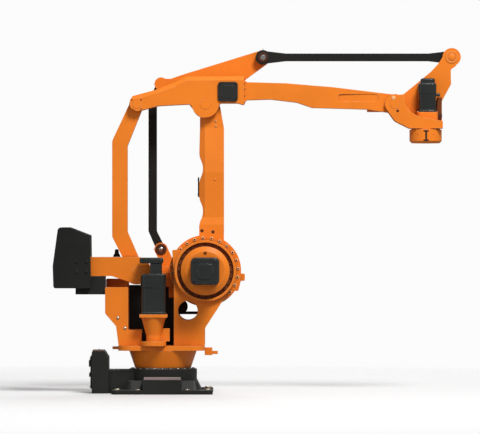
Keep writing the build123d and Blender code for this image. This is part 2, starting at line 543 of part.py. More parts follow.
def rocker_plate():
    """Three-cornered rocker on the elbow pin."""
    face = outline((-LEVEL_BACK - 20, LEVEL_UP + 45, 0), (-LEVEL_BACK, LEVEL_UP - 54, 0), (-150, 20, 60),
                   (-80, -70, 0), (80, -70, 0), (140, 40, 60), (300, 185, 60),
                   (TOP_AHEAD + 42, TOP_UP - 48, 0), (TOP_AHEAD - 20, TOP_UP + 58, 0), (-180, LEVEL_UP + 80, 60),
                   (-290, LEVEL_UP + 42, 60))
    face += Circle(ELBOW_R)
    face += Pos(-LEVEL_BACK, LEVEL_UP) * Circle(54)
    face += Pos(TOP_AHEAD, TOP_UP) * Circle(UPPER_EYE_R + 3)
    body = plate(Pos(ELBOW_X, ELBOW_Z) * face, ROCKER_NEAR, ROCKER_FAR)
    return body - pin_hole(ELBOW_X, ELBOW_Z, ELBOW_PIN_R)


def rocker_rear_pin():
    """Pin of the levelling rod's upper pivot."""
    return disc(LEVEL_X, LEVEL_Z + LINK_LENGTH, SLIM_PIN_R, ROCKER_FAR, LEVEL_ROD_FAR + 8)


def rocker_front_pin():
    """Pin of the upper rod's rear pivot."""
    return disc(ELBOW_X + TOP_AHEAD, ELBOW_Z + TOP_UP, SLIM_PIN_R, UPPER_ROD_NEAR - 8, ROCKER_NEAR)


def upper_rod():
    """Upper rod from the rocker to the wrist, flared into its eyes."""
    half = UPPER_SHANK / 2
    face = outline((0, UPPER_EYE_R - 6, 0), (UPPER_FLARE, half, 60), (ARM_LENGTH - UPPER_FLARE, half, 60),
                   (ARM_LENGTH, UPPER_EYE_R - 6, 0), (ARM_LENGTH, 6 - UPPER_EYE_R, 0),
                   (ARM_LENGTH - UPPER_FLARE, -half, 60), (UPPER_FLARE, -half, 60), (0, 6 - UPPER_EYE_R, 0))
    for along in (0, ARM_LENGTH):
        face += Pos(along, 0) * Circle(UPPER_EYE_R)
    body = plate(Pos(ELBOW_X + TOP_AHEAD, ELBOW_Z + TOP_UP) * face, UPPER_ROD_NEAR, UPPER_ROD_FAR)
    for x in (ELBOW_X + TOP_AHEAD, WRIST_X + TOP_AHEAD):
        body -= pin_hole(x, ELBOW_Z + TOP_UP, SLIM_PIN_R)
    return body


def elbow_casting():
    """Rear casting of the arm: rear fork, lobe about the elbow axis and front flange."""
    rear = -CRANK_LENGTH
    face = outline((-417, 115, 60), (-261, 173, 60), (-164, 225, 80), (CASTING_FRONT, 229, 0),
                   (CASTING_FRONT, -10, 10), (269, 7, 10), (127, 7, 10), (93, -30, 0), (0, -ELBOW_R, 0), (-41, -ELBOW_R, 10),
                   (-126, -1, 40), (-387, -15, 40), (rear, -PUSH_EYE_R, 30), (rear - FORK_END, -25, 30),
                   (rear - FORK_END, 34, 0), (rear + 22 - FORK_END, PUSH_EYE_R + 4, 0))
    body = plate(Pos(ELBOW_X, ELBOW_Z) * face, -ARM_HALF, ARM_HALF)
    top = body.edges().filter_by(lambda edge: abs(edge.center().Y) > ARM_HALF - 1
                                 and edge.center().Z > ELBOW_Z + PUSH_EYE_R + 4 and edge.center().X < ELBOW_X + CASTING_FRONT - 8)
    body = chamfer(top, CASTING_CHAMFER) + disc(ELBOW_X, ELBOW_Z, ELBOW_R, -ARM_HALF, ARM_HALF)
    slot = outline((-200, -250, 0), (-200, -5, 0), (-110, 40, 0), (-60, 120, 0), (100, 110, 0), (300, 20, 0),
                   (300, -250, 0)) + Circle(ELBOW_R + 18)
    gap = LINK_EYE_HALF + SIDE_GAP
    body -= plate(Pos(ELBOW_X, ELBOW_Z) * slot, -gap, gap)
    body -= block(PUSH_X - 200, PUSH_X + FORK_SLOT, -FORK_INNER, FORK_INNER, ELBOW_Z - 300, ELBOW_Z + 300)
    body -= pin_hole(ELBOW_X, ELBOW_Z, ELBOW_PIN_R)
    return body - pin_hole(PUSH_X, ELBOW_Z, PUSH_PIN_R - PIN_CLEARANCE)


def forearm():
    """Tapered forearm from the elbow casting to the wrist tongue."""
    face = outline((CASTING_FRONT, -8, 0), (337, 33, 20), (538, 39, 60), (752, 13, 60), (879, -30, 40), (1333, -44, 60),
                   (ARM_LENGTH, -WRIST_BOSS_R + 4, 0), (ARM_LENGTH, WRIST_BOSS_R - 4, 0), (1043, 140, 80),
                   (665, 171, 80), (343, 180, 10), (CASTING_FRONT, 200, 0))
    face += Pos(ARM_LENGTH, 0) * Circle(WRIST_BOSS_R - 4)
    body = plate(Pos(ELBOW_X, ELBOW_Z) * face, -ARM_HALF, ARM_HALF)
    joint_face, narrow, end = ELBOW_X + CASTING_FRONT, WRIST_X - 250, WRIST_X + 2 * WRIST_BOSS_R
    plan = outline((joint_face, -FOREARM_HALF, 0), (narrow, -TONGUE_HALF, 60), (end, -TONGUE_HALF, 0),
                   (end, TONGUE_HALF, 0), (narrow, TONGUE_HALF, 60), (joint_face, FOREARM_HALF, 0))
    body = body & extrude(Pos(0, 0, ELBOW_Z - ARM_SWEEP / 2) * plan, ARM_SWEEP)
    body += Pos(ELBOW_X, 0, ELBOW_Z) * block(PAD_BACK, PAD_FRONT, -PAD_HALF, PAD_HALF, PAD_BOTTOM, 0)
    pocket = Pos(ELBOW_X + POCKET_X, ELBOW_Z + POCKET_Z) * RectangleRounded(POCKET_LENGTH, POCKET_HEIGHT, 20)
    body -= plate(pocket, -ARM_HALF, -POCKET_FLOOR) + plate(pocket, POCKET_FLOOR, ARM_HALF)
    return body - pin_hole(WRIST_X, WRIST_Z, WRIST_PIN_R - PIN_CLEARANCE)


def arm_cover():
    """Square cover on the near side of the elbow casting."""
    face = Pos(ELBOW_X + 185, ELBOW_Z + 101) * RectangleRounded(163, 160, 25)
    return plate(face, -ARM_HALF - 14, -ARM_HALF)


def push_rod_top_pin():
    """Pin of the push rod's upper pivot."""
    return disc(PUSH_X, ELBOW_Z, PUSH_PIN_R, -ARM_HALF - PIN_PROUD, ARM_HALF + PIN_PROUD)


def wrist_pin():
    """Pin of the wrist axis, fixed in the forearm's tongue."""
    return disc(WRIST_X, WRIST_Z, WRIST_PIN_R, -WRIST_OUTER - PIN_PROUD, WRIST_OUTER + PIN_PROUD)


def wrist_far_plate():
    """Far wall of the wrist, with the neck up to the upper rod."""
    face = outline((-47, 70, 0), (74, 83, 30), (171, 162, 30), (303, 271, 30), (365, 337, 30), (400, 392, 0),
                   (475, 392, 0), (521, 325, 20), (467, 289, 20), (470, 168, 30), (394, 28, 30), (394, WRIST_FOOT, 0),
                   (122, WRIST_FOOT, 40), (1, -141, 80), (-60, -55, 0))
    face += Circle(WRIST_BOSS_R) + Pos(TOP_AHEAD, TOP_UP) * Circle(TOP_BOSS_R)
    body = plate(Pos(WRIST_X, WRIST_Z) * face, WRIST_INNER, WRIST_OUTER + 15)
    return body - pin_hole(WRIST_X, WRIST_Z, WRIST_PIN_R)


def wrist_near_plate():
    """Near wall of the wrist, swept down from its boss to the gear housing."""
    face = outline((-47, 70, 0), (74, 80, 0), (85, -8, 60), (124, -63, 50), (185, -96, 30), (394, -141, 0),
                   (394, WRIST_FOOT, 0), (122, WRIST_FOOT, 40), (1, -141, 80), (-60, -55, 0))
    face += Circle(WRIST_BOSS_R)
    body = plate(Pos(WRIST_X, WRIST_Z) * face, -WRIST_OUTER, -WRIST_INNER)
    return body - pin_hole(WRIST_X, WRIST_Z, WRIST_PIN_R)


def wrist_web():
    """Curved wall between the two wrist plates, behind the motor."""
    face = outline((30, -132, 0), (126, WRIST_FOOT, 0), (394, WRIST_FOOT, 0), (394, WRIST_SEAT, 0),
                   (170, WRIST_SEAT, 0), (130, -75, 30), (95, -62, 0), (20, -104, 0))
    return plate(Pos(WRIST_X, WRIST_Z) * face, -WRIST_INNER, WRIST_INNER)


def wrist_gear():
    """Round gear unit under the wrist."""
    return upright(TOOL_X, 0, Circle(TOOL_R - 14), TOOL_FACE + TOOL_THICK + TURN_GAP, WRIST_Z + WRIST_FOOT)


def wrist_collar():
    """Collar that the wrist motor stands on."""
    face = RectangleRounded(WRIST_MOTOR_SIDE + 24, 2 * WRIST_INNER, 30)
    return upright(TOOL_X + WRIST_MOTOR_AHEAD, 0, face, WRIST_Z + WRIST_SEAT, WRIST_Z + WRIST_MOTOR_BOTTOM)


def wrist_motor():
    """Upright motor that turns the tool flange, with a narrower cap."""
    across = 2 * WRIST_INNER - 6
    body = upright(TOOL_X + WRIST_MOTOR_AHEAD, 0, RectangleRounded(WRIST_MOTOR_SIDE, across, 26),
                   WRIST_Z + WRIST_MOTOR_BOTTOM, WRIST_Z + WRIST_MOTOR_STEP)
    return body + upright(TOOL_X + WRIST_MOTOR_AHEAD + 4, 0, RectangleRounded(WRIST_CAP_SIDE, across - 24, 20),
                          WRIST_Z + WRIST_MOTOR_STEP, WRIST_Z + WRIST_MOTOR_TOP)


def wrist_top_pin():
    """Pin of the upper rod's front pivot."""
    return disc(WRIST_X + TOP_AHEAD, WRIST_Z + TOP_UP, SLIM_PIN_R, WRIST_OUTER + 15, UPPER_ROD_FAR + 8)


def tool_flange():
    """Turning drum with the tool face, its centring bore and bolt circle."""
    body = upright(TOOL_X, 0, Circle(TOOL_R), TOOL_FACE, TOOL_FACE + TOOL_THICK)
    body = chamfer(body.faces().sort_by(Axis.Z)[0].edges(), TOOL_CHAMFER)
    body -= block(TOOL_X - TOOL_NOTCH / 2, TOOL_X + TOOL_NOTCH / 2, -TOOL_R - 1, TOOL_NOTCH_DEPTH - TOOL_R,
                  TOOL_FACE, TOOL_FACE + TOOL_THICK)
    body -= upright(TOOL_X, 0, Circle(TOOL_BORE_R), TOOL_FACE, TOOL_FACE + TOOL_BORE_DEPTH)
    for hole in PolarLocations(TOOL_PCD / 2, TOOL_HOLES):
        body -= upright(TOOL_X, 0, hole * Circle(TOOL_HOLE_R), TOOL_FACE, TOOL_FACE + TOOL_HOLE_DEPTH)
    return body


PARTS = {
    "base_frame": base_frame(),
    "junction_box": junction_box(),
    "connector_panel": connector_panel(),
    "slew_bearing": slew_bearing(),
    "column_drum": column_drum(),
    "lifting_lugs": lifting_lugs(),
    "near_cheek": near_cheek(),
    "far_cheek": far_cheek(),
    "near_leg": mirror(rear_leg(LEG_TOP), Plane.XZ),
    "far_leg": rear_leg(FAR_LEG_TOP),
    "front_web": front_web(),
    "rear_web": rear_web(),
    "shoulder_gear": mirror(drive_gear(), Plane.XZ),
    "shoulder_motor": mirror(drive_motor(), Plane.XZ),
    "elbow_gear": drive_gear(),
    "elbow_motor": drive_motor(),
    "slew_bell": slew_bell(),
    "slew_motor": slew_motor(),
    "levelling_bracket": levelling_bracket(),
    "link_arm": link_arm(),
    "link_hub": link_hub(),
    "elbow_pin": elbow_pin(),
    "crank_lever": crank_lever(),
    "crank_cheek": crank_cheek(),
    "counterweight_near": mirror(counterweight(), Plane.XZ),
    "counterweight_far": counterweight(),
    "counterweight_carrier": counterweight_carrier(),
    "counterweight_block": counterweight_block(),
    "push_rod_pin": push_rod_pin(),
    "push_rod": push_rod(),
    "levelling_rod": levelling_rod(),
    "rocker_plate": rocker_plate(),
    "rocker_rear_pin": rocker_rear_pin(),
    "rocker_front_pin": rocker_front_pin(),
    "upper_rod": upper_rod(),
    "elbow_casting": elbow_casting(),
    "forearm": forearm(),
    "arm_cover": arm_cover(),
    "push_rod_top_pin": push_rod_top_pin(),
    "wrist_pin": wrist_pin(),
    "wrist_far_plate": wrist_far_plate(),
    "wrist_near_plate": wrist_near_plate(),
    "wrist_web": wrist_web(),
    "wrist_gear": wrist_gear(),
    "wrist_collar": wrist_collar(),
    "wrist_motor": wrist_motor(),
    "wrist_top_pin": wrist_top_pin(),
    "tool_flange": tool_flange(),
}
for name, solid in PARTS.items():
    export_step(solid, f"parts/{name}.step")
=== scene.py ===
import json
import math

import bmesh
import bpy
from mathutils import Matrix, Vector


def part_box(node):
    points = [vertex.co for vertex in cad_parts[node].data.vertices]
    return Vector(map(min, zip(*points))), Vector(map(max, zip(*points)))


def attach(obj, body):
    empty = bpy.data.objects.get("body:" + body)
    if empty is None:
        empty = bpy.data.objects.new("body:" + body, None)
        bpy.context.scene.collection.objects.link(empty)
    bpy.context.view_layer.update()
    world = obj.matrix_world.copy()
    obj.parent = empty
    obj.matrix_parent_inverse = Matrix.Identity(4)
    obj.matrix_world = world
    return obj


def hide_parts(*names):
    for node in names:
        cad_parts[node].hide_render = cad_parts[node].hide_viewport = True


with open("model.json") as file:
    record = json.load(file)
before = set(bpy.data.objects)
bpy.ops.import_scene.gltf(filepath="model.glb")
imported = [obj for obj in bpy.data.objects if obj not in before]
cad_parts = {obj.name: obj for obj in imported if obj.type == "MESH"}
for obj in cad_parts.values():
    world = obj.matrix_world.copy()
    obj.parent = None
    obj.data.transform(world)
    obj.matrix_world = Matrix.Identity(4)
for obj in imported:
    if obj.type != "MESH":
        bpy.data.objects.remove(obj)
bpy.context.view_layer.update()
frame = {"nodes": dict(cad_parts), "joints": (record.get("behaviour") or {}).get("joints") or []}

bl_info = {
    "name": "Palletising arm dresser",
    "version": (1, 0, 0),
    "blender": (4, 5, 0),
    "location": "3D Viewport > Sidebar > Palletiser",
    "description": "Paint, fasteners, covers and stage for a four-axis palletising arm",
    "category": "Object",
}

# The pivots of the linkage in metres, from the built model's joints
PIVOT = {joint["name"]: Vector(joint["pos_m"]) for joint in frame["joints"]}
SHOULDER = PIVOT["link_swing"]
ELBOW = PIVOT["elbow"]
WRIST = PIVOT["wrist_level"]
PUSH_LOW = PIVOT["push_rod_pivot"]
LEVEL_LOW = PIVOT["levelling_pivot"]
TOP_REAR = PIVOT["upper_rod_pivot"]
TOOL = PIVOT["flange_turn"]
LINK_LENGTH = ELBOW.z - SHOULDER.z
ARM_LENGTH = WRIST.x - ELBOW.x
TOP_FRONT = TOP_REAR + Vector((ARM_LENGTH, 0, 0))
LEVEL_HIGH = LEVEL_LOW + Vector((0, 0, LINK_LENGTH))
PUSH_HIGH = PUSH_LOW + Vector((0, 0, LINK_LENGTH))

# The built nodes by their finish
NODE_FINISHES = {
    "satin_orange": (
        "column_drum", "lifting_lugs", "near_cheek", "far_cheek", "near_leg", "far_leg", "front_web",
        "shoulder_gear", "elbow_gear", "slew_bell", "levelling_bracket", "link_arm", "link_hub",
        "crank_lever", "crank_cheek", "push_rod", "rocker_plate", "elbow_casting", "forearm",
        "wrist_far_plate", "wrist_near_plate", "wrist_web", "wrist_gear", "wrist_collar", "tool_flange",
        "elbow_pin", "push_rod_pin", "push_rod_top_pin", "wrist_pin"),
    # The rear web is black as painted shade: the deep shade inside the column
    "semi_matt_black": ("counterweight_near", "counterweight_far", "levelling_rod", "upper_rod", "rear_web"),
    "pale_black": ("base_frame", "junction_box", "connector_panel", "counterweight_carrier",
                   "counterweight_block", "arm_cover"),
    "motor_enamel": ("shoulder_motor", "elbow_motor", "slew_motor", "wrist_motor"),
    "ground_steel": ("slew_bearing", "rocker_rear_pin", "rocker_front_pin", "wrist_top_pin"),
}

# Sizes are in metres. Screws, plugs, caps and connectors: radius and height. Washers and collars: outer
# and inner radius and height. Plates: width, depth, height, corner and, where it isn't RIM, the chamfer.
RIM = 0.0015
MERGE = 1e-6
SHARP_EDGE = math.radians(32)

# Link's hub and the two drives at the shoulder
HUB_SCREW, HUB_SCREW_R, HUB_SCREWS, HUB_START = (0.014, 0.007), 0.270, 24, math.radians(4)
# A dark amber ring in each drive's groove paints the groove's shade
GEAR_DEPTH, GEAR_SEAT, GROOVE_SHADE_THICK = 0.095, 0.012, 0.005
GROOVE_SHADE = (0.2325, 0.2005, GROOVE_SHADE_THICK)
GROOVE_SCREW, GROOVE_R, GROOVE_SCREWS = (0.0085, 0.008), 0.2165, 24
GEAR_PLUG, GEAR_PLUG_UP = (0.014, 0.003), 0.146

# Motors of the drives: flange and foot of the waist, end of the waist as shares of the length, insets of
# waist and rim with the rim's height, how far the end cover stands out, cover and screws
DRIVE_FLANGE, DRIVE_WAIST, DRIVE_INSETS = (0.016, 0.019), (0.60, 0.62), (0.005, 0.008, 0.010)
DRIVE_CORNER, DRIVE_END, DRIVE_COVER = 0.036, 0.012, (0.130, 0.120, 0.009, 0.03)
DRIVE_SCREW, DRIVE_SCREWS_AT = (0.0075, 0.006), (0.088, 0.082)

# Slewing motor: height of its body, its axis from the rear of its box, heights of flange and waist, then
# the narrower neck and the plug box over it
SLEW_BODY, SLEW_AXIS, SLEW_CORNER = 0.330, 0.107, 0.036
SLEW_HEIGHTS, SLEW_INSETS = (0.014, 0.018, 0.215, 0.220), (0.005, 0.008, 0.008)
SLEW_PLUG_BOX, SLEW_TOP_CORNER, SLEW_TOP_LESS = 0.047, 0.012, 0.044
SLEW_BOX_LEVELS = ((0.006, 0.0), (0.0, 0.006), (0.0, SLEW_PLUG_BOX - 0.010), (0.008, SLEW_PLUG_BOX))
SLEW_BOX_AT, SLEW_BOX_LESS = -0.0165, 0.030
SLEW_NECK_AT, SLEW_NECK_WIDE, SLEW_NECK_LESS = 0.0205, 0.097, 0.004
SLEW_SCREW, SLEW_SCREWS_AT, SLEW_SCREW_DOWN = (0.0055, 0.005), (0.074, 0.066), 0.0052

# Motor of the tool flange: heights as above, its cap, and two plugs on its front as (size, across)
TOOL_MOTOR_HEIGHTS, TOOL_MOTOR_INSETS = (0.012, 0.015, 0.150, 0.154), (0.004, 0.006, 0.006)
TOOL_MOTOR_CORNER, TOOL_MOTOR_CAP = 0.026, 0.041
TOOL_CAP_LEVELS = ((0.0, 0.0), (0.0, TOOL_MOTOR_CAP - 0.008), (0.007, TOOL_MOTOR_CAP))
TOOL_CAP_AT, TOOL_CAP_WIDE, TOOL_CAP_LESS, TOOL_CAP_CORNER = 0.004, 0.116, 0.024, 0.020
TOOL_PLUGS = (((0.013, 0.034), -0.02), ((0.011, 0.030), 0.02))
TOOL_PLUG_IN, TOOL_PLUG_DOWN = 0.003, 0.135

# Base: anchor collars, bearing screws, the box's lid, plugs and screws of its panel, pale rails of painted
# highlight
FOOT_TOP, ANCHOR_COLLAR = 0.034, (0.027, 0.0145, 0.009)
ANCHORS = ((0.370, 0.385), (0.200, 0.385), (0.370, 0.225))
BEARING_SCREW, BEARING_R, BEARING_SCREWS = (0.010, 0.009), 0.255, 24
BOX_STEP, LID_LESS, LID_THICK, LID_CORNER, LID_SCREWS_AT = -0.478, (0.006, 0.012), 0.007, 0.012, 0.17
BIG_PLUG, BIG_PLUG_UP, BIG_PLUGS_AT = (0.026, 0.014), 0.245, (-0.09, 0.0, 0.09)
SMALL_PLUG, SMALL_PLUG_UP, SMALL_PLUGS_AT = (0.014, 0.012), 0.150, (-0.10, -0.05, 0.0, 0.05, 0.10)
BOX_SCREW, PANEL_SCREWS_AT, PANEL_SCREWS_UP = (0.0055, 0.005), 0.138, (0.055, 0.173, 0.290)
SIDE_BOX_TOP, RAIL_IN, RAIL_HALF, RAIL_HIGH, RAIL_CORNER = 0.120, 0.012, 0.150, 0.022, 0.004

# Column: black plates of painted shade in the round window as (size, along, up), leg plugs, levelling
# bracket's pin
WINDOW_SHADE_PLATES = (
    ((0.130, 0.112, 0.004, 0.050, 0.001), 0.138, 0.709),
    ((0.190, 0.024, 0.004, 0.008, 0.001), 0.205, 0.657),
)
LEG_PLUG, LEG_PLUGS = (0.014, 0.009), ((-0.367, 0.622), (-0.309, 0.538))
LEVEL_NEAR, LEVEL_SHADE_BOSS, LEVEL_CAP = 0.194, (0.046, 0.0215, 0.008), (0.021, 0.010)

# Link: back plate, dark discs of painted recess shade, eye screws and bosses, each with places along and up
LINK_BACK, LINK_HALF, LINK_EYE_HALF = -0.051, 0.110, 0.060
STRIP_LOW, STRIP_HIGH, STRIP_SIZE = 1.615, 1.778, (0.110, 0.011, 0.006)
STRIP_SCREW, STRIP_SCREW_OUT, STRIP_SCREWS_AT = (0.006, 0.004), 0.010, (0.04, 0.06)
RECESS_SHADE, RECESS_SHADES = (0.014, 0.002), ((0.322, 1.337), (0.413, 1.327))
EYE_SCREW, EYE_SCREWS = (0.009, 0.006), ((0.434, 2.240), (0.437, 2.200))
LINK_BOSS, LINK_BOSSES = (0.012, 0.005), ((0.384, 1.413), (0.430, 1.758))

# Crank and rods: counterweight bolts, rubber buffer, end caps and grease nipples
WEIGHT_BOLT, WEIGHT_BOLTS_IN, WEIGHT_BOLTS_UP = (0.011, 0.010), 0.075, 0.034
WEIGHT_BOLTS_AT = (0.040, 0.042)
BUFFER_AT, BUFFER_SIZE = (-0.384, 0.0925), (0.060, 0.045, 0.004)
BUFFER_LEVELS = ((0.0, 0.0), (0.0, 0.006), (0.012, 0.030), (0.016, 0.062))
ROD_BOSS, ROD_CAP, ROD_CAP_OUT = (0.042, 0.0225, 0.006), (0.034, 0.0225, 0.005), 0.001
NIPPLE, NIPPLE_BACK, NIPPLE_UP = (0.006, 0.016), 0.047, 0.058

# Arm: cover, screws of the elbow's front flange and of the rear fork
COVER_PANEL, COVER_SCREW, COVER_SCREWS_AT = (0.110, 0.104, 0.003, 0.02), (0.0055, 0.004), (0.064, 0.062)
ARM_SCREW, ARM_SIDE_Y, ARM_SIDE_UPS = (0.0075, 0.008), 0.110, (0.02, 0.075, 0.13, 0.18)
ARM_TOP_UP, ARM_TOP_YS = 0.2145, (-0.06, 0.0, 0.06)
FORK_SCREW, FORK_SCREWS_AT = (0.008, 0.005), (0.038, 0.038)

# Wrist: plugs and neck plugs as places along and up from its pivot, collar screws, strip of painted shade,
# pin cap
PALE_PLUG, PALE_PLUG_AT = (0.018, 0.006), (-0.012, 0.050)
HOLE_SHADE, HOLE_SHADE_AT = (0.011, 0.002), (0.022, -0.057)
COLLAR_SCREW, COLLAR_SCREWS_AT = (0.0055, 0.006), (0.080, 0.045)
SHADE_STRIP_OUT, SHADE_STRIP_Y = 0.116, 0.074
SHADE_STRIP, SHADE_STRIP_UP = (0.040, 0.172, 0.028, 0.006), -0.027
SHADE_FOOT, SHADE_FOOT_UP = (0.044, 0.040, 0.036, 0.006), -0.098
NECK_THICK, NECK_WASHER, NECK_DOME = 0.055, (0.052, 0.034, 0.005), (0.034, 0.009)
NECK_PLUG, NECK_PLUGS = (0.014, 0.005), ((0.16, 0.06), (0.16, -0.11), (0.34, 0.20), (0.34, -0.11))

# Tool flange: ring in its bore, dark plate with two bars that paints the index notch's shade, and screws
# round the rim
TOOL_BORE_DEPTH, CENTRING_RING = 0.010, (0.0618, 0.030, 0.008)
NOTCH_SHADE_WIDE, NOTCH_SHADE_LESS, NOTCH_SHADE_PROUD, NOTCH_SHADE_UP = 0.018, 0.030, 0.0085, 0.006
NOTCH_SHADE_PLATE, NOTCH_SHADE_BAR, NOTCH_SHADE_BAR_DOWN, NOTCH_SHADE_BAR_UP = (0.009, 0.003, 0.001), (0.044, 0.014), 0.012, 0.024
FLANGE_SCREW, FLANGE_SCREW_R, FLANGE_SCREW_UP = (0.006, 0.003), 0.1325, 0.075
FLANGE_SCREW_TURNS = (0.5, 1.1, 2.0, 2.6, 3.6, 4.2, 5.2, 5.8)

# Turned parts as shares of their radius and height
HEX_WASHER = ((0.0, 0.0), (1.25, 0.0), (1.25, 0.18), (0.0, 0.18))
HEX_HEAD = ((0.0, 0.18), (1.0, 0.18), (1.0, 0.88), (0.86, 1.0), (0.0, 1.0))
CONNECTOR = ((0.0, 0.0), (1.3, 0.0), (1.3, 0.12), (1.0, 0.14), (1.0, 0.45), (1.15, 0.50), (1.15, 0.85),
             (0.95, 1.0), (0.0, 1.0))
NIPPLE_FOOT = ((0.0, 0.0), (1.0, 0.0), (1.0, 0.35), (0.0, 0.35))
NIPPLE_BALL = ((0.0, 0.35), (0.55, 0.35), (0.40, 0.65), (0.62, 0.82), (0.40, 1.0), (0.0, 1.0))
DOME_TURNS = (0.0, 0.4, 0.8, 1.2)

# Turns that point a small part's own up at each side of the machine
UP = Matrix.Identity(4)
NEAR = Matrix.Rotation(math.pi / 2, 4, "X")
FAR = Matrix.Rotation(-math.pi / 2, 4, "X")
REAR = Matrix.Rotation(-math.pi / 2, 4, "Y")
FRONT = Matrix.Rotation(math.pi / 2, 4, "Y")
DOWN = Matrix.Rotation(math.pi, 4, "X")
BOTH_SIDES = ((-1, NEAR), (1, FAR))
CORNERS = ((-1, -1), (-1, 1), (1, -1), (1, 1))

# Finishes: share of the shade colour that the painted shade in seams and corners keeps, colour of dust,
# how far the grain moves roughness down and up, and how much matter dust makes a face
SEAM_SHADE_SHARE = 0.30
DUST_COLOUR = (0.42, 0.38, 0.33, 1.0)
ROUGH_DOWN, ROUGH_UP, DUST_MATT = 0.08, 0.10, 0.5

# The studio: brightness of the room and colour of the backdrop, the floor's radius, what it throws back
# and where it fades, and each lamp's place, power and size
ROOM_LIGHT, ROOM_COLOUR = 0.30, (1.0, 1.0, 1.0, 1.0)
BACKDROP = (0.97, 0.97, 0.97, 1.0)
FLOOR_RADIUS, FLOOR_FADE = 14.0, (2.2, 7.5)
FLOOR_BOUNCE = (0.32, 0.32, 0.32, 1.0)
SENSOR_MM = 36.0
LAMP_AIM = (0.6, 0.0, 1.2)
LAMPS = (
    ("key", (5.6, -11.0, 15.0), 3300.0, 5.2),
    ("fill", (-6.0, -7.0, 3.0), 60.0, 4.0),
    ("rim", (1.0, 6.0, 6.0), 200.0, 4.0),
)


class ArmFinish(bpy.types.PropertyGroup):
    """Colours, and wear with its painted highlight, of the painted and bare surfaces"""
    orange: bpy.props.FloatVectorProperty(
        name="Orange", description="Satin orange paint of the castings", subtype="COLOR", size=3,
        default=(0.88, 0.222, 0.016))
    black: bpy.props.FloatVectorProperty(
        name="Black", description="Black paint of the base, weights and rods", subtype="COLOR", size=3,
        default=(0.0090, 0.0092, 0.0084))
    motor: bpy.props.FloatVectorProperty(
        name="Motor", description="Enamel of the motor housings", subtype="COLOR", size=3,
        default=(0.0125, 0.0150, 0.0140))
    steel: bpy.props.FloatVectorProperty(
        name="Steel", description="Bare steel of the pins and screws", subtype="COLOR", size=3,
        default=(0.56, 0.53, 0.50))
    # Wear also paints a highlight: the edges take a paler rubbed colour
    wear_and_highlight: bpy.props.FloatProperty(
        name="Wear", description="How far the paint is rubbed pale along the edges", default=0.50,
        min=0.0, max=1.0, subtype="FACTOR")
    dust: bpy.props.FloatProperty(
        name="Dust", description="Dust lying on the faces that look up", default=0.12,
        min=0.0, max=1.0, subtype="FACTOR")
    soft_edge: bpy.props.FloatProperty(
        name="Soft edge", description="Radius of the cast edges", default=0.005, unit="LENGTH")


class ArmStage(bpy.types.PropertyGroup):
    """Camera and floor"""
    distance: bpy.props.FloatProperty(
        name="Distance", description="From the camera to the arm's middle plane", default=40.0,
        unit="LENGTH")
    centre_x: bpy.props.FloatProperty(
        name="Centre along", description="What the camera looks at, along the arm", default=0.635,
        unit="LENGTH")
    centre_z: bpy.props.FloatProperty(
        name="Centre up", description="What the camera looks at, above the floor", default=1.45,
        unit="LENGTH")
    view_width: bpy.props.FloatProperty(
        name="View width", description="Width of the picture at the arm's middle plane", default=3.96,
        unit="LENGTH")
    floor: bpy.props.FloatVectorProperty(
        name="Floor", description="Colour of the plain floor", subtype="COLOR", size=3,
        default=(0.82, 0.82, 0.82))


def add(tree, kind, **settings):
    """Add a node to a shader tree and set its options."""
    node = tree.nodes.new(kind)
    for key, value in settings.items():
        setattr(node, key, value)
    return node


def wire(tree, socket, value):
    """Set a socket to a value, or wire it to another socket."""
    if isinstance(value, bpy.types.NodeSocket):
        tree.links.new(value, socket)
    else:
        socket.default_value = value


def feed(tree, node, **values):
    """Set or wire a node's sockets by their names."""
    for key, value in values.items():
        wire(tree, node.inputs[key.replace("_", " ")], value)
    return node


def new_group(name, inputs, outputs):
    """Start a shader node group; its inputs are numbers or colours, its outputs are named kinds."""
    tree = bpy.data.node_groups.new(name, "ShaderNodeTree")
    for label, value in inputs.items():
        kind = "NodeSocketColor" if isinstance(value, tuple) else "NodeSocketFloat"
        tree.interface.new_socket(label, in_out="INPUT", socket_type=kind).default_value = value
    for label, kind in outputs.items():
        tree.interface.new_socket(label, in_out="OUTPUT", socket_type=kind)
    return tree, add(tree, "NodeGroupInput").outputs, add(tree, "NodeGroupOutput")


def maths(tree, operation, first, second):
    """A Math node's result for two inputs."""
    node = add(tree, "ShaderNodeMath", operation=operation, use_clamp=True)
    for socket, value in zip(node.inputs, (first, second)):
        wire(tree, socket, value)
    return node.outputs[0]


def blend_colour(tree, factor, first, second):
    """A colour mix; the two colours may be sockets or values."""
    node = add(tree, "ShaderNodeMix", data_type="RGBA")
    mix, colour_a, colour_b = node.inputs[0], node.inputs[6], node.inputs[7]
    for socket, value in zip((mix, colour_a, colour_b), (factor, first, second)):
        wire(tree, socket, value)
    return node.outputs[2]


def object_place(tree):
    """Object coordinates, which stay with a piece as it moves."""
    return add(tree, "ShaderNodeTexCoord").outputs["Object"]


def noise(tree, place, scale, detail=3.0):
    """Soft noise at a scale counted per metre."""
    return feed(tree, add(tree, "ShaderNodeTexNoise"), Vector=place, Scale=scale, Detail=detail).outputs[0]


def ramp(tree, value, low=0.0, high=1.0, start=0.0, end=1.0):
    """A value spread from one range over another."""
    node = add(tree, "ShaderNodeMapRange")
    return feed(tree, node, Value=value, From_Min=low, From_Max=high, To_Min=start, To_Max=end).outputs[0]


def give_mask(tree, given, result, mask, patches):
    """Thin a mask by patches and by the group's amount, and hand it out."""
    mask = maths(tree, "MULTIPLY", mask, patches)
    feed(tree, result, Mask=maths(tree, "MULTIPLY", mask, given["Amount"]))
    return tree


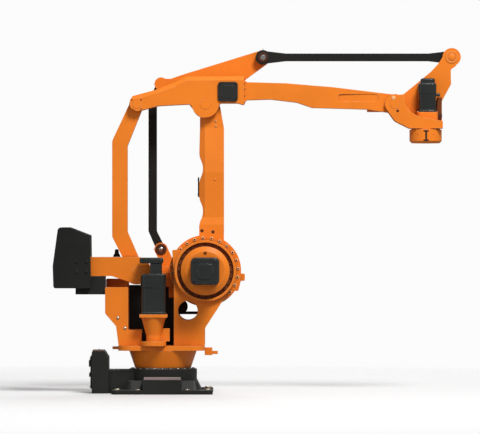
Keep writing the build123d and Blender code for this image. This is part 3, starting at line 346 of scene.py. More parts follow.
def cast_grain_group():
    """Fine orange-peel and sand-cast relief under the paint, over softened edges."""
    tree, given, result = new_group(
        "cast_grain", {"Size": 260.0, "Depth": 0.1, "Edge": 0.005},
        {"Normal": "NodeSocketVector", "Grain": "NodeSocketFloat"})
    place = object_place(tree)
    fine = noise(tree, place, given["Size"])
    broad = noise(tree, place, scale=9.0, detail=2.0)
    grain = maths(tree, "ADD", maths(tree, "MULTIPLY", fine, 0.7), maths(tree, "MULTIPLY", broad, 0.3))
    soft = feed(tree, add(tree, "ShaderNodeBevel", samples=4), Radius=given["Edge"]).outputs[0]
    bump = add(tree, "ShaderNodeBump")
    feed(tree, bump, Strength=given["Depth"], Distance=0.004, Height=grain, Normal=soft)
    feed(tree, result, Normal=bump.outputs[0], Grain=grain)
    return tree


def edge_wear_highlight_group():
    """Mask of the convex edges, broken up by noise: rubbed paint there, and a painted highlight along them.
    """
    tree, given, result = new_group(
        "edge_wear_and_highlight", {"Radius": 0.010, "Amount": 0.3}, {"Mask": "NodeSocketFloat"})
    rounded = feed(tree, add(tree, "ShaderNodeBevel", samples=4), Radius=given["Radius"]).outputs[0]
    flat = add(tree, "ShaderNodeNewGeometry").outputs["Normal"]
    turn = add(tree, "ShaderNodeVectorMath", operation="DOT_PRODUCT")
    wire(tree, turn.inputs[0], rounded)
    wire(tree, turn.inputs[1], flat)
    edge = ramp(tree, turn.outputs["Value"], low=0.995, high=0.86)
    patches = ramp(tree, noise(tree, object_place(tree), scale=22.0, detail=4.0), low=0.38, high=0.62)
    return give_mask(tree, given, result, edge, patches)


def dust_group():
    """Mask of the faces that look up, thinned by noise."""
    tree, given, result = new_group("settled_dust", {"Amount": 0.2}, {"Mask": "NodeSocketFloat"})
    flat = add(tree, "ShaderNodeNewGeometry").outputs["Normal"]
    facing = feed(tree, add(tree, "ShaderNodeSeparateXYZ"), Vector=flat)
    up = ramp(tree, facing.outputs["Z"], low=0.55, high=0.98)
    return give_mask(tree, given, result, up, noise(tree, object_place(tree), scale=14.0, detail=5.0))


def colour_drift_group():
    """Slow change of shade over a surface, as sprayed paint has."""
    tree, given, result = new_group(
        "colour_drift", {"Colour": (0.5, 0.5, 0.5, 1.0), "Shade": (0.4, 0.4, 0.4, 1.0), "Size": 3.0},
        {"Colour": "NodeSocketColor"})
    slow = ramp(tree, noise(tree, object_place(tree), given["Size"], detail=4.0), low=0.35, high=0.65)
    feed(tree, result, Colour=blend_colour(tree, slow, given["Colour"], given["Shade"]))
    return tree


def seam_shade_group():
    """Mask of painted shade in the seams and inner corners, from ambient occlusion, broken up by noise."""
    tree, given, result = new_group("painted_seam_shade", {"Reach": 0.05, "Amount": 0.5}, {"Mask": "NodeSocketFloat"})
    open_sky = feed(tree, add(tree, "ShaderNodeAmbientOcclusion", samples=6), Distance=given["Reach"])
    closed = ramp(tree, open_sky.outputs["AO"], low=0.85, high=0.35)
    spots = noise(tree, object_place(tree), scale=11.0, detail=4.0)
    return give_mask(tree, given, result, closed, ramp(tree, spots, low=0.25, high=0.60, start=0.35))


def shared_group(name):
    """One of the shared effects, built the first time it is asked for."""
    makers = {"cast_grain": cast_grain_group, "edge_wear_and_highlight": edge_wear_highlight_group, "settled_dust": dust_group,
              "colour_drift": colour_drift_group, "painted_seam_shade": seam_shade_group}
    return bpy.data.node_groups.get(name) or makers[name]()


def place_group(tree, name, **values):
    """Put a shared effect into a material with its own values."""
    node = add(tree, "ShaderNodeGroup", node_tree=shared_group(name))
    return feed(tree, node, **values).outputs


def finish_material(name, colour, shade, roughness, rub_and_highlight, wear_and_highlight, dust, grain=260.0, depth=0.12,
                    metallic=0.0, coat=0.0, gloss=0.20, seam_shade_amount=0.5):
    """A surface finish: drifting colour, painted shade in seams, rubbed edges with painted highlight, dust,
    fine relief.
    """
    material = bpy.data.materials.new(name)
    material.use_nodes = True
    material.diffuse_color = (*colour, 1.0)
    tree = material.node_tree
    shader = tree.nodes["Principled BSDF"]
    soft_edge = bpy.context.scene.arm_finish.soft_edge
    drift = place_group(tree, "colour_drift", Colour=(*colour, 1.0), Shade=(*shade, 1.0))
    edge = place_group(tree, "edge_wear_and_highlight", Amount=wear_and_highlight)
    lying = place_group(tree, "settled_dust", Amount=dust)
    relief = place_group(tree, "cast_grain", Size=grain, Depth=depth, Edge=soft_edge)
    seam_shade = place_group(tree, "painted_seam_shade", Amount=seam_shade_amount)
    # Painted shade: seams and inner corners darken towards a darker copy of the shade colour
    seam_shaded = blend_colour(tree, seam_shade["Mask"], drift["Colour"], (*scaled(shade, SEAM_SHADE_SHARE), 1.0))
    # Edges take the rubbed colour: wear, and a painted highlight along them
    worn_and_lit = blend_colour(tree, edge["Mask"], seam_shaded, (*rub_and_highlight, 1.0))
    dusty = blend_colour(tree, lying["Mask"], worn_and_lit, DUST_COLOUR)
    rough = ramp(tree, relief["Grain"], start=roughness - ROUGH_DOWN, end=roughness + ROUGH_UP)
    matt = maths(tree, "ADD", rough, maths(tree, "MULTIPLY", lying["Mask"], DUST_MATT))
    feed(tree, shader, Base_Color=dusty, Roughness=matt, Normal=relief["Normal"], Metallic=metallic,
         Coat_Weight=coat, Coat_Roughness=0.25, Specular_IOR_Level=gloss)
    return material


def scaled(colour, share):
    """A colour made darker or paler by a share."""
    return tuple(part * share for part in colour)


def finish_rows():
    """Each finish: slot, colour, shade, roughness, rubbed colour with painted highlight, wear, dust, and what
    else differs.
    """
    given = bpy.context.scene.arm_finish
    orange, black, motor, steel = given.orange, given.black, given.motor, given.steel
    wear_and_highlight, dust = given.wear_and_highlight, given.dust
    return {
        "satin_orange": ("orange_paint", tuple(orange), scaled(orange, 0.90), 0.42, (0.97, 0.52, 0.24),
                         wear_and_highlight, dust * 0.5, {"depth": 0.20, "coat": 0.06}),
        "semi_matt_black": ("black_paint", tuple(black), scaled(black, 1.5), 0.46, (0.16, 0.15, 0.14),
                            wear_and_highlight * 0.3, dust * 2.0, {"grain": 320.0}),
        # Paler copy of the black on the base, the weights' carrier and the arm's cover
        "pale_black": ("black_paint", scaled(black, 2.5), scaled(black, 1.8), 0.46, (0.18, 0.17, 0.16),
                       wear_and_highlight * 0.6, dust * 2.0, {"grain": 320.0}),
        "motor_enamel": ("motor_black", tuple(motor), scaled(motor, 1.4), 0.30, (0.12, 0.12, 0.12),
                         wear_and_highlight, dust, {"grain": 420.0, "depth": 0.06, "gloss": 0.45}),
        "ground_steel": ("bare_steel", tuple(steel), scaled(steel, 0.75), 0.32, (0.75, 0.73, 0.70),
                         0.4, 0.1, {"grain": 600.0, "depth": 0.05, "metallic": 1.0}),
        # Pale zinc plating of screws, collars and nipples
        "zinc_plate": ("bare_steel", (0.66, 0.60, 0.49), (0.52, 0.47, 0.38), 0.36, (0.80, 0.77, 0.70),
                       0.3, 0.05, {"grain": 700.0, "depth": 0.04, "metallic": 1.0}),
        # Dark red-brown of the box lid and upper rod's boss; painted shade on a boss, recesses, a hole, a
        # strip foot, a notch
        "dark_brown_and_painted_shade": ("orange_paint", (0.085, 0.026, 0.012), (0.060, 0.018, 0.009), 0.50,
                         (0.30, 0.12, 0.06), 0.3, 0.08, {}),
        # Dark amber: painted shade in the drives' grooves, their rings and screws, and the wrist's strip;
        # also gear plugs
        "dark_amber_and_painted_shade": ("orange_paint", (0.22, 0.056, 0.011), (0.15, 0.038, 0.008), 0.48,
                       (0.45, 0.18, 0.06), 0.3, 0.05, {}),
        # Pale orange of the link's screws, paler than the castings as painted highlight
        "pale_orange_highlight": ("orange_paint", (0.96, 0.47, 0.20), (0.90, 0.40, 0.15), 0.34,
                          (0.98, 0.70, 0.45), 0.3, 0.03, {"grain": 500.0, "depth": 0.05}),
        # Warm grey of the rails on the base: a painted highlight along the side boxes' top edges
        "pale_rail_highlight": ("black_paint", (0.30, 0.225, 0.215), (0.22, 0.165, 0.155), 0.40,
                      (0.50, 0.45, 0.42), 0.5, 0.10, {"grain": 500.0, "depth": 0.05, "gloss": 0.5}),
        # Matt black rubber of the buffer and the link's plate; its black also paints the shade in the round
        # window
        "rubber": ("black_paint", (0.011, 0.011, 0.011), (0.018, 0.018, 0.017), 0.78,
                   (0.05, 0.05, 0.05), 0.2, 0.15, {"grain": 500.0, "depth": 0.05}),
    }


def finish(name):
    """A finish's slot and its material, which is made the first time it is asked for."""
    slot, *row, rest = finish_rows()[name]
    return slot, bpy.data.materials.get(name) or finish_material(name, *row, **rest)


def spun(bm, profile, segments=20):
    """A round shape about its own up axis, from a half profile of (radius, height) points."""
    line = [bm.verts.new((radius, 0.0, height)) for radius, height in profile]
    edges = [bm.edges.new(pair) for pair in zip(line, line[1:])]
    bmesh.ops.spin(bm, geom=line + edges, cent=(0.0, 0.0, 0.0), axis=(0.0, 0.0, 1.0), angle=2 * math.pi,
                   steps=segments, use_merge=True)


def turned(bm, radius, height, shares, segments):
    """A round shape whose profile is given as shares of its radius and height."""
    spun(bm, [(radius * across, height * up) for across, up in shares], segments)


def disc_shape(bm, radius, height, rim=RIM):
    """A flat round cap with a chamfered rim."""
    spun(bm, ((0.0, 0.0), (radius, 0.0), (radius, height - rim), (radius - rim, height), (0.0, height)))


def dome_shape(bm, radius, height):
    """A low domed cap."""
    curve = [(radius * math.cos(turn), height * math.sin(turn)) for turn in DOME_TURNS]
    spun(bm, ((0.0, 0.0), *curve, (0.0, height)))


def washer_shape(bm, outer, inner, height):
    """A washer or collar with chamfered rims."""
    rim = min(RIM, height / 3)
    spun(bm, ((inner, 0.0), (outer, 0.0), (outer, height - rim), (outer - rim, height),
              (inner + rim, height), (inner, height - rim), (inner, 0.0)), segments=28)


def screw_shape(bm, radius, height):
    """A socket screw's head: drum, chamfered rim and a six-sided socket."""
    rim, socket, depth = radius * 0.14, radius * 0.55, height * 0.55
    spun(bm, ((0.0, 0.0), (radius, 0.0), (radius, height - rim), (radius - rim, height)), segments=18)
    bmesh.ops.remove_doubles(bm, verts=bm.verts, dist=MERGE)
    open_rim = [edge for edge in bm.edges if edge.is_boundary]
    floor = bmesh.ops.create_circle(bm, cap_ends=True, segments=6, radius=socket,
                                    matrix=Matrix.Translation((0.0, 0.0, height - depth)))["verts"]
    foot = floor[0].link_faces[0]
    walls = bmesh.ops.extrude_edge_only(bm, edges=foot.edges[:])["geom"]
    raised = [part for part in walls if isinstance(part, bmesh.types.BMVert)]
    bmesh.ops.translate(bm, vec=(0.0, 0.0, depth), verts=raised)
    mouth = [edge for edge in bm.edges if edge.is_boundary and edge not in open_rim]
    bmesh.ops.bridge_loops(bm, edges=open_rim + mouth)


def hex_shape(bm, radius, height):
    """A six-sided bolt head with a chamfered top, on its washer."""
    turned(bm, radius, height, HEX_WASHER, segments=20)
    turned(bm, radius, height, HEX_HEAD, segments=6)


def connector_shape(bm, radius, height):
    """A round plug connector: flange, body, nut and cap."""
    turned(bm, radius, height, CONNECTOR, segments=16)


def nipple_shape(bm, radius, height):
    """A grease nipple: six-sided foot, waist and ball."""
    turned(bm, radius, height, NIPPLE_FOOT, segments=6)
    turned(bm, radius, height, NIPPLE_BALL, segments=10)


def block_shape(bm, width, depth, corner, levels, segments=4):
    """A rounded rectangle raised through levels of (inset, height), the first one its foot."""
    bmesh.ops.create_grid(bm, x_segments=1, y_segments=1, size=0.5)
    bmesh.ops.scale(bm, vec=(width, depth, 1.0), verts=bm.verts)
    bmesh.ops.bevel(bm, geom=bm.verts[:], offset=corner, affect="VERTICES", segments=segments, profile=0.5,
                    material=-1)
    bm.faces.ensure_lookup_table()
    top = bm.faces[0]
    before, low = levels[0]
    for inset, height in levels[1:]:
        made = bmesh.ops.extrude_face_region(bm, geom=[top, *top.edges])["geom"]
        top = next(part for part in made if isinstance(part, bmesh.types.BMFace))
        grow = ((width - 2 * inset) / (width - 2 * before), (depth - 2 * inset) / (depth - 2 * before), 1.0)
        bmesh.ops.scale(bm, vec=grow, verts=top.verts[:])
        bmesh.ops.translate(bm, vec=(0.0, 0.0, height - low), verts=top.verts[:])
        before, low = inset, height


def plate_shape(bm, width, depth, height, corner, rim=RIM):
    """A flat plate with rounded corners and a chamfered rim."""
    block_shape(bm, width, depth, corner, ((0.0, 0.0), (0.0, height - rim), (rim, height)))


def housing_levels(heights, top, waist_in, rim_in, rim_high):
    """Levels of a motor's housing: flange, narrower waist, body and chamfered end."""
    flange, waist_low, waist_high, body_low = heights
    return ((0.0, 0.0), (0.0, flange), (waist_in, waist_low), (waist_in, waist_high), (0.0, body_low),
            (0.0, top - rim_high), (rim_in, top))


def new_mesh(name, bm):
    """A mesh from what was modelled."""
    mesh = bpy.data.meshes.new(name)
    bm.to_mesh(mesh)
    bm.free()
    return mesh


def new_object(name, data):
    """An object in the scene."""
    obj = bpy.data.objects.new(name, data)
    bpy.context.scene.collection.objects.link(obj)
    return obj


def aim(obj, place, target):
    """Put a lamp or camera at a place and point it at a target."""
    obj.location = place
    obj.rotation_mode = "QUATERNION"
    obj.rotation_quaternion = (Vector(target) - Vector(place)).to_track_quat("-Z", "Y")


def pattern(build, sizes):
    """A small mesh to copy, made by one of the shapes above."""
    bm = bmesh.new()
    build(bm, *sizes)
    bmesh.ops.remove_doubles(bm, verts=bm.verts, dist=MERGE)
    bmesh.ops.recalc_face_normals(bm, faces=bm.faces)
    return new_mesh("pattern", bm)


def assemble(name, body, look, *groups, slot=None):
    """Join small shapes into one piece that rides on a body; a group is a shape, its sizes and places."""
    usual_slot, material = finish(look)
    slot = slot or usual_slot
    bm = bmesh.new()
    for build, sizes, places in groups:
        mesh = pattern(build, sizes)
        for place in places:
            first = len(bm.verts)
            bm.from_mesh(mesh)
            bm.verts.ensure_lookup_table()
            bmesh.ops.transform(bm, matrix=place, verts=bm.verts[first:])
        bpy.data.meshes.remove(mesh)
    for face in bm.faces:
        face.smooth = True
    mesh = new_mesh(name, bm)
    mesh.set_sharp_from_angle(angle=SHARP_EDGE)
    mesh.materials.append(material)
    piece = new_object(name, mesh)
    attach(piece, body)
    return piece


def at(x, y, z, facing=UP):
    """A small part's place: its foot at a point, its own up turned to a facing."""
    return Matrix.Translation((x, y, z)) @ facing


def turns(count, start=0.0):
    """Angles spread evenly round a circle."""
    return [start + 2 * math.pi * step / count for step in range(count)]


def ring(centre, radius, count, y, facing, start=0.0):
    """Places round an axis that lies across the machine."""
    return [at(centre.x + radius * math.cos(turn), y, centre.z + radius * math.sin(turn), facing)
            for turn in turns(count, start)]


def corners(x, y, z, half_x, half_z, facing):
    """Four places at the corners of an upright rectangle that faces the near or far side."""
    return [at(x + side_x * half_x, y, z + side_z * half_z, facing) for side_x, side_z in CORNERS]


def span(node):
    """The low and high corners of a built node's box, and its middle."""
    low, high = (Vector(corner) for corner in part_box(node))
    return low, high, (low + high) / 2


def near_face(node):
    """Where a built node ends on the near side."""
    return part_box(node)[0][1]


def far_face(node):
    """Where a built node ends on the far side."""
    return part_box(node)[1][1]


class ROBOTARM_OT_finish_frame(bpy.types.Operator):
    """Give every built node its paint or metal and its soft cast edges"""
    bl_idname = "robotarm.finish_frame"
    bl_label = "Finish the built pieces"

    def execute(self, context):
        for look, names in NODE_FINISHES.items():
            for name in names:
                obj = frame["nodes"][name]
                obj.data.materials.clear()
                obj.data.materials.append(finish(look)[1])
        return {"FINISHED"}


class ROBOTARM_OT_hub_screws(bpy.types.Operator):
    """Screws round both faces of the link's hub"""
    bl_idname = "robotarm.hub_screws"
    bl_label = "Hub screws"

    def execute(self, context):
        places = []
        for face, facing in ((near_face("link_arm"), NEAR), (far_face("link_hub"), FAR)):
            places += ring(SHOULDER, HUB_SCREW_R, HUB_SCREWS, face, facing, HUB_START)
        # The heads are a paler orange than the castings: painted highlight
        assemble("hub_screws", "link", "pale_orange_highlight", (screw_shape, HUB_SCREW, places))
        return {"FINISHED"}


class ROBOTARM_OT_drive_fittings(bpy.types.Operator):
    """Rings of painted shade in the grooves, screws and plugs of both drives"""
    bl_idname = "robotarm.drive_fittings"
    bl_label = "Drive fittings"

    def execute(self, context):
        groove_shades, screws, plugs = [], [], []
        for side, facing in BOTH_SIDES:
            seat = side * (far_face("elbow_gear") - GEAR_DEPTH + GEAR_SEAT)
            face = side * far_face("elbow_gear")
            groove_shades.append(at(SHOULDER.x, seat, SHOULDER.z, facing))
            screws += ring(SHOULDER, GROOVE_R, GROOVE_SCREWS, seat + side * GROOVE_SHADE_THICK, facing)
            plugs.append(at(SHOULDER.x, face, SHOULDER.z + GEAR_PLUG_UP, facing))
        # Painted shade: a dark amber ring in each groove, and the screws there in the same colour
        assemble("groove_shade_rings", "column", "dark_amber_and_painted_shade", (washer_shape, GROOVE_SHADE, groove_shades))
        assemble("groove_screws", "column", "dark_amber_and_painted_shade", (screw_shape, GROOVE_SCREW, screws))
        assemble("gear_plugs", "column", "dark_amber_and_painted_shade", (disc_shape, GEAR_PLUG, plugs))
        return {"FINISHED"}


class ROBOTARM_OT_drive_motors(bpy.types.Operator):
    """The four motors, with flange, waist, body, end cover, screws and plugs"""
    bl_idname = "robotarm.drive_motors"
    bl_label = "Motors"

    def execute(self, context):
        for name, facing, side in (("shoulder_motor", NEAR, -1), ("elbow_motor", FAR, 1)):
            drive_motor(name, facing, side)
        slew_motor()
        wrist_motor()
        return {"FINISHED"}


def drive_motor(name, facing, side):
    """One of the motors that lie across the shoulder: housing, end cover and its screws."""
    low, high, middle = span(name)
    length, start = high.y - low.y, side * min(abs(low.y), abs(high.y))
    cover = length - DRIVE_END
    end = start + side * cover
    heights = (*DRIVE_FLANGE, *(length * share for share in DRIVE_WAIST))
    levels = housing_levels(heights, cover, *DRIVE_INSETS)
    piece = assemble(
        name + "_housing", "column", "motor_enamel",
        (block_shape, (high.x - low.x, high.z - low.z, DRIVE_CORNER, levels),
         [at(middle.x, start, middle.z, facing)]),
        (plate_shape, DRIVE_COVER, [at(middle.x, end, middle.z, facing)]))
    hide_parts(name)
    assemble(name + "_screws", "column", "motor_enamel",
             (screw_shape, DRIVE_SCREW, corners(middle.x, end, middle.z, *DRIVE_SCREWS_AT, facing)))


def slew_motor():
    """The upright slewing motor: housing, neck, plug box and its screws."""
    low, high, middle = span("slew_motor")
    side = high.y - low.y
    x, y = low.x + SLEW_AXIS, middle.y
    shoulder, cap = low.z + SLEW_BODY, high.z - SLEW_PLUG_BOX
    levels = housing_levels(SLEW_HEIGHTS, SLEW_BODY, *SLEW_INSETS)
    depth = side - SLEW_TOP_LESS
    neck_levels = ((0.0, 0.0), (0.0, cap - shoulder))
    box_x, box_width = x + SLEW_BOX_AT, high.x - low.x - SLEW_BOX_LESS
    piece = assemble(
        "slew_motor_housing", "column", "motor_enamel",
        (block_shape, (side, side, SLEW_CORNER, levels), [at(x, y, low.z)]),
        (block_shape, (SLEW_NECK_WIDE, depth - SLEW_NECK_LESS, SLEW_TOP_CORNER, neck_levels),
         [at(x + SLEW_NECK_AT, y, shoulder)]),
        (block_shape, (box_width, depth, SLEW_TOP_CORNER, SLEW_BOX_LEVELS), [at(box_x, y, cap)]))
    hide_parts("slew_motor")
    screw_x, screw_y = SLEW_SCREWS_AT
    assemble("slew_motor_screws", "column", "motor_enamel",
             (screw_shape, SLEW_SCREW, [at(box_x + screw_x * side_x, y + screw_y * side_y,
                                           high.z - SLEW_SCREW_DOWN) for side_x, side_y in CORNERS]))


def wrist_motor():
    """The upright motor of the tool flange, with its cap and plugs."""
    low, high, middle = span("wrist_motor")
    cap = high.z - TOOL_MOTOR_CAP
    levels = housing_levels(TOOL_MOTOR_HEIGHTS, cap - low.z, *TOOL_MOTOR_INSETS)
    front, up = high.x - TOOL_PLUG_IN, high.z - TOOL_PLUG_DOWN
    plugs = [(connector_shape, size, [at(front, middle.y + y, up, FRONT)]) for size, y in TOOL_PLUGS]
    piece = assemble(
        "wrist_motor_housing", "wrist", "motor_enamel",
        (block_shape, (high.x - low.x, high.y - low.y, TOOL_MOTOR_CORNER, levels),
         [at(middle.x, middle.y, low.z)]),
        (block_shape, (TOOL_CAP_WIDE, high.y - low.y - TOOL_CAP_LESS, TOOL_CAP_CORNER, TOOL_CAP_LEVELS),
         [at(middle.x + TOOL_CAP_AT, middle.y, cap)]),
        *plugs)
    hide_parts("wrist_motor")


class ROBOTARM_OT_base_fittings(bpy.types.Operator):
    """Anchor collars, bearing screws, box lid, the plug connectors at the rear and the pale rails of painted
    highlight
    """
    bl_idname = "robotarm.base_fittings"
    bl_label = "Base fittings"

    def execute(self, context):
        box_low, box_high, _ = span("junction_box")
        panel = span("connector_panel")[0].x
        anchors = [at(side_x * x, side_y * y, FOOT_TOP) for x, y in ANCHORS for side_x, side_y in CORNERS]
        assemble("anchor_collars", "base", "zinc_plate", (washer_shape, ANCHOR_COLLAR, anchors))
        top = span("base_frame")[1].z
        bearing = [at(BEARING_R * math.cos(turn), BEARING_R * math.sin(turn), top)
                   for turn in turns(BEARING_SCREWS)]
        assemble("bearing_screws", "base", "ground_steel", (screw_shape, BEARING_SCREW, bearing))
        lid_x = (box_low.x + BOX_STEP) / 2
        lid = (BOX_STEP - box_low.x - LID_LESS[0], box_high.y - box_low.y - LID_LESS[1], LID_THICK,
               LID_CORNER)
        assemble("box_lid", "base", "dark_brown_and_painted_shade", (plate_shape, lid, [at(lid_x, 0.0, box_high.z)]),
                 slot="black_paint")
        assemble("plug_connectors", "base", "motor_enamel",
                 (connector_shape, BIG_PLUG, [at(panel, y, BIG_PLUG_UP, REAR) for y in BIG_PLUGS_AT]),
                 (connector_shape, SMALL_PLUG, [at(panel, y, SMALL_PLUG_UP, REAR) for y in SMALL_PLUGS_AT]))
        screws = [at(panel, side * PANEL_SCREWS_AT, z, REAR) for side in (-1, 1) for z in PANEL_SCREWS_UP]
        screws += [at(lid_x, side * LID_SCREWS_AT, box_high.z + LID_THICK) for side in (-1, 1)]
        assemble("box_screws", "base", "ground_steel", (screw_shape, BOX_SCREW, screws))
        # Pale rails paint the highlight along the top edges of the side boxes
        rails = [at(0.0, side * (far_face("base_frame") - RAIL_IN), SIDE_BOX_TOP) for side in (-1, 1)]
        assemble("base_highlight_rails", "base", "pale_rail_highlight",
                 (plate_shape, (2 * RAIL_HALF, 2 * RAIL_IN, RAIL_HIGH, RAIL_CORNER), rails))
        return {"FINISHED"}


class ROBOTARM_OT_column_fittings(bpy.types.Operator):
    """Black plates of painted shade in the round window, leg plugs, and the levelling bracket's dark boss and
    pin cap
    """
    bl_idname = "robotarm.column_fittings"
    bl_label = "Column fittings"

    def execute(self, context):
        inner = near_face("far_cheek")
        # Black plates on the far cheek's inner face paint the shade seen through the round window
        assemble("window_shade_plates", "column", "rubber",
                 *[(plate_shape, size, [at(x, inner, z, NEAR)]) for size, x, z in WINDOW_SHADE_PLATES])
        plugs = [at(x, side * far_face("far_leg"), z, facing) for side, facing in BOTH_SIDES
                 for x, z in LEG_PLUGS]
        assemble("leg_plugs", "column", "zinc_plate", (dome_shape, LEG_PLUG, plugs))
        pin = [at(LEVEL_LOW.x, LEVEL_NEAR, LEVEL_LOW.z, NEAR)]
        # The bracket's boss is dark brown as painted shade
        assemble("bracket_shade_boss", "column", "dark_brown_and_painted_shade", (washer_shape, LEVEL_SHADE_BOSS, pin))
        assemble("bracket_pin_cap", "column", "ground_steel", (dome_shape, LEVEL_CAP, pin))
        return {"FINISHED"}


class ROBOTARM_OT_link_fittings(bpy.types.Operator):
    """Plate on the link's back with its screws, dark discs of painted shade, eye screws and bosses"""
    bl_idname = "robotarm.link_fittings"
    bl_label = "Link fittings"

    def execute(self, context):
        back, near = SHOULDER.x + LINK_BACK, near_face("link_arm")
        height, middle = STRIP_HIGH - STRIP_LOW, (STRIP_HIGH + STRIP_LOW) / 2
        assemble("link_strip", "link", "rubber",
                 (plate_shape, (height, *STRIP_SIZE), [at(back, 0.0, middle, REAR)]))
        screw_y, screw_up = STRIP_SCREWS_AT
        strip = [at(back - STRIP_SCREW_OUT, side_y * screw_y, middle + side_z * screw_up, REAR)
                 for side_y, side_z in CORNERS]
        assemble("link_strip_screws", "link", "zinc_plate", (screw_shape, STRIP_SCREW, strip))
        # Dark discs paint the shade of two recesses in the link's face
        plugs = [at(x, near, z, NEAR) for x, z in RECESS_SHADES]
        assemble("link_recess_shades", "link", "dark_brown_and_painted_shade", (disc_shape, RECESS_SHADE, plugs))
        eye = [at(x, -LINK_EYE_HALF, z, NEAR) for x, z in EYE_SCREWS]
        # The heads are a paler orange than the castings: painted highlight
        assemble("link_screws", "link", "pale_orange_highlight", (screw_shape, EYE_SCREW, eye))
        bosses = [at(x, side * LINK_HALF, z, facing) for side, facing in BOTH_SIDES for x, z in LINK_BOSSES]
        assemble("link_bosses", "link", "satin_orange", (dome_shape, LINK_BOSS, bosses))
        return {"FINISHED"}


class ROBOTARM_OT_crank_fittings(bpy.types.Operator):
    """Counterweight bolts and the rubber buffer on the crank"""
    bl_idname = "robotarm.crank_fittings"
    bl_label = "Crank fittings"

    def execute(self, context):
        high = span("counterweight_far")[1]
        bolts = []
        for side, facing in BOTH_SIDES:
            bolts += corners(high.x - WEIGHT_BOLTS_IN, side * high.y, SHOULDER.z + WEIGHT_BOLTS_UP,
                             *WEIGHT_BOLTS_AT, facing)
        assemble("weight_bolts", "crank", "semi_matt_black", (hex_shape, WEIGHT_BOLT, bolts))
        assemble("crank_buffer", "crank", "rubber",
                 (block_shape, (*BUFFER_SIZE, BUFFER_LEVELS), [at(*BUFFER_AT, span("crank_cheek")[1].z)]))
        return {"FINISHED"}


class ROBOTARM_OT_rod_ends(bpy.types.Operator):
    """Boss, caps and grease nipples at the ends of the levelling rod and the upper rod"""
    bl_idname = "robotarm.rod_ends"
    bl_label = "Rod ends"

    def execute(self, context):
        upper_near, level_far = near_face("upper_rod"), far_face("levelling_rod")
        assemble("upper_rod_boss", "upper_rod", "dark_brown_and_painted_shade",
                 (washer_shape, ROD_BOSS, [at(TOP_REAR.x, upper_near, TOP_REAR.z, NEAR)]), slot="black_paint")
        for name, body, pin in (("level_low_cap", "column", LEVEL_LOW),
                                ("level_high_cap", "rocker", LEVEL_HIGH)):
            assemble(name, body, "ground_steel",
                     (washer_shape, ROD_CAP, [at(pin.x, level_far + ROD_CAP_OUT, pin.z, FAR)]))
        middle = (near_face("levelling_rod") + level_far) / 2
        nipples = [at(pin.x - NIPPLE_BACK, middle, pin.z, REAR) for pin in (LEVEL_LOW, LEVEL_HIGH)]
        assemble("levelling_rod_nipples", "levelling_rod", "zinc_plate", (nipple_shape, NIPPLE, nipples))
        middle = (upper_near + far_face("upper_rod")) / 2
        nipples = [at(pin.x, middle, pin.z + NIPPLE_UP) for pin in (TOP_REAR, TOP_FRONT)]
        assemble("upper_rod_nipples", "upper_rod", "zinc_plate", (nipple_shape, NIPPLE, nipples))
        return {"FINISHED"}


class ROBOTARM_OT_arm_fittings(bpy.types.Operator):
    """Cover panel with its screws, and screws of the arm's flange and its rear fork"""
    bl_idname = "robotarm.arm_fittings"
    bl_label = "Arm fittings"

    def execute(self, context):
        low, _, middle = span("arm_cover")
        screws = corners(middle.x, low.y, middle.z, *COVER_SCREWS_AT, NEAR)
        assemble("cover_screws", "arm", "pale_black", (screw_shape, COVER_SCREW, screws))
        assemble("cover_panel", "arm", "pale_black",
                 (plate_shape, COVER_PANEL, [at(middle.x, low.y, middle.z, NEAR)]))
        front = span("elbow_casting")[1].x
        edge = [at(front, side * ARM_SIDE_Y, ELBOW.z + up, FRONT) for side in (-1, 1) for up in ARM_SIDE_UPS]
        edge += [at(front, y, ELBOW.z + ARM_TOP_UP, FRONT) for y in ARM_TOP_YS]
        assemble("arm_flange_screws", "arm", "satin_orange", (screw_shape, ARM_SCREW, edge))
        ends = []
        for side, facing in BOTH_SIDES:
            face = side * far_face("elbow_casting")
            ends += corners(PUSH_HIGH.x, face, PUSH_HIGH.z, *FORK_SCREWS_AT, facing)
        assemble("fork_screws", "arm", "satin_orange", (screw_shape, FORK_SCREW, ends))
        return {"FINISHED"}


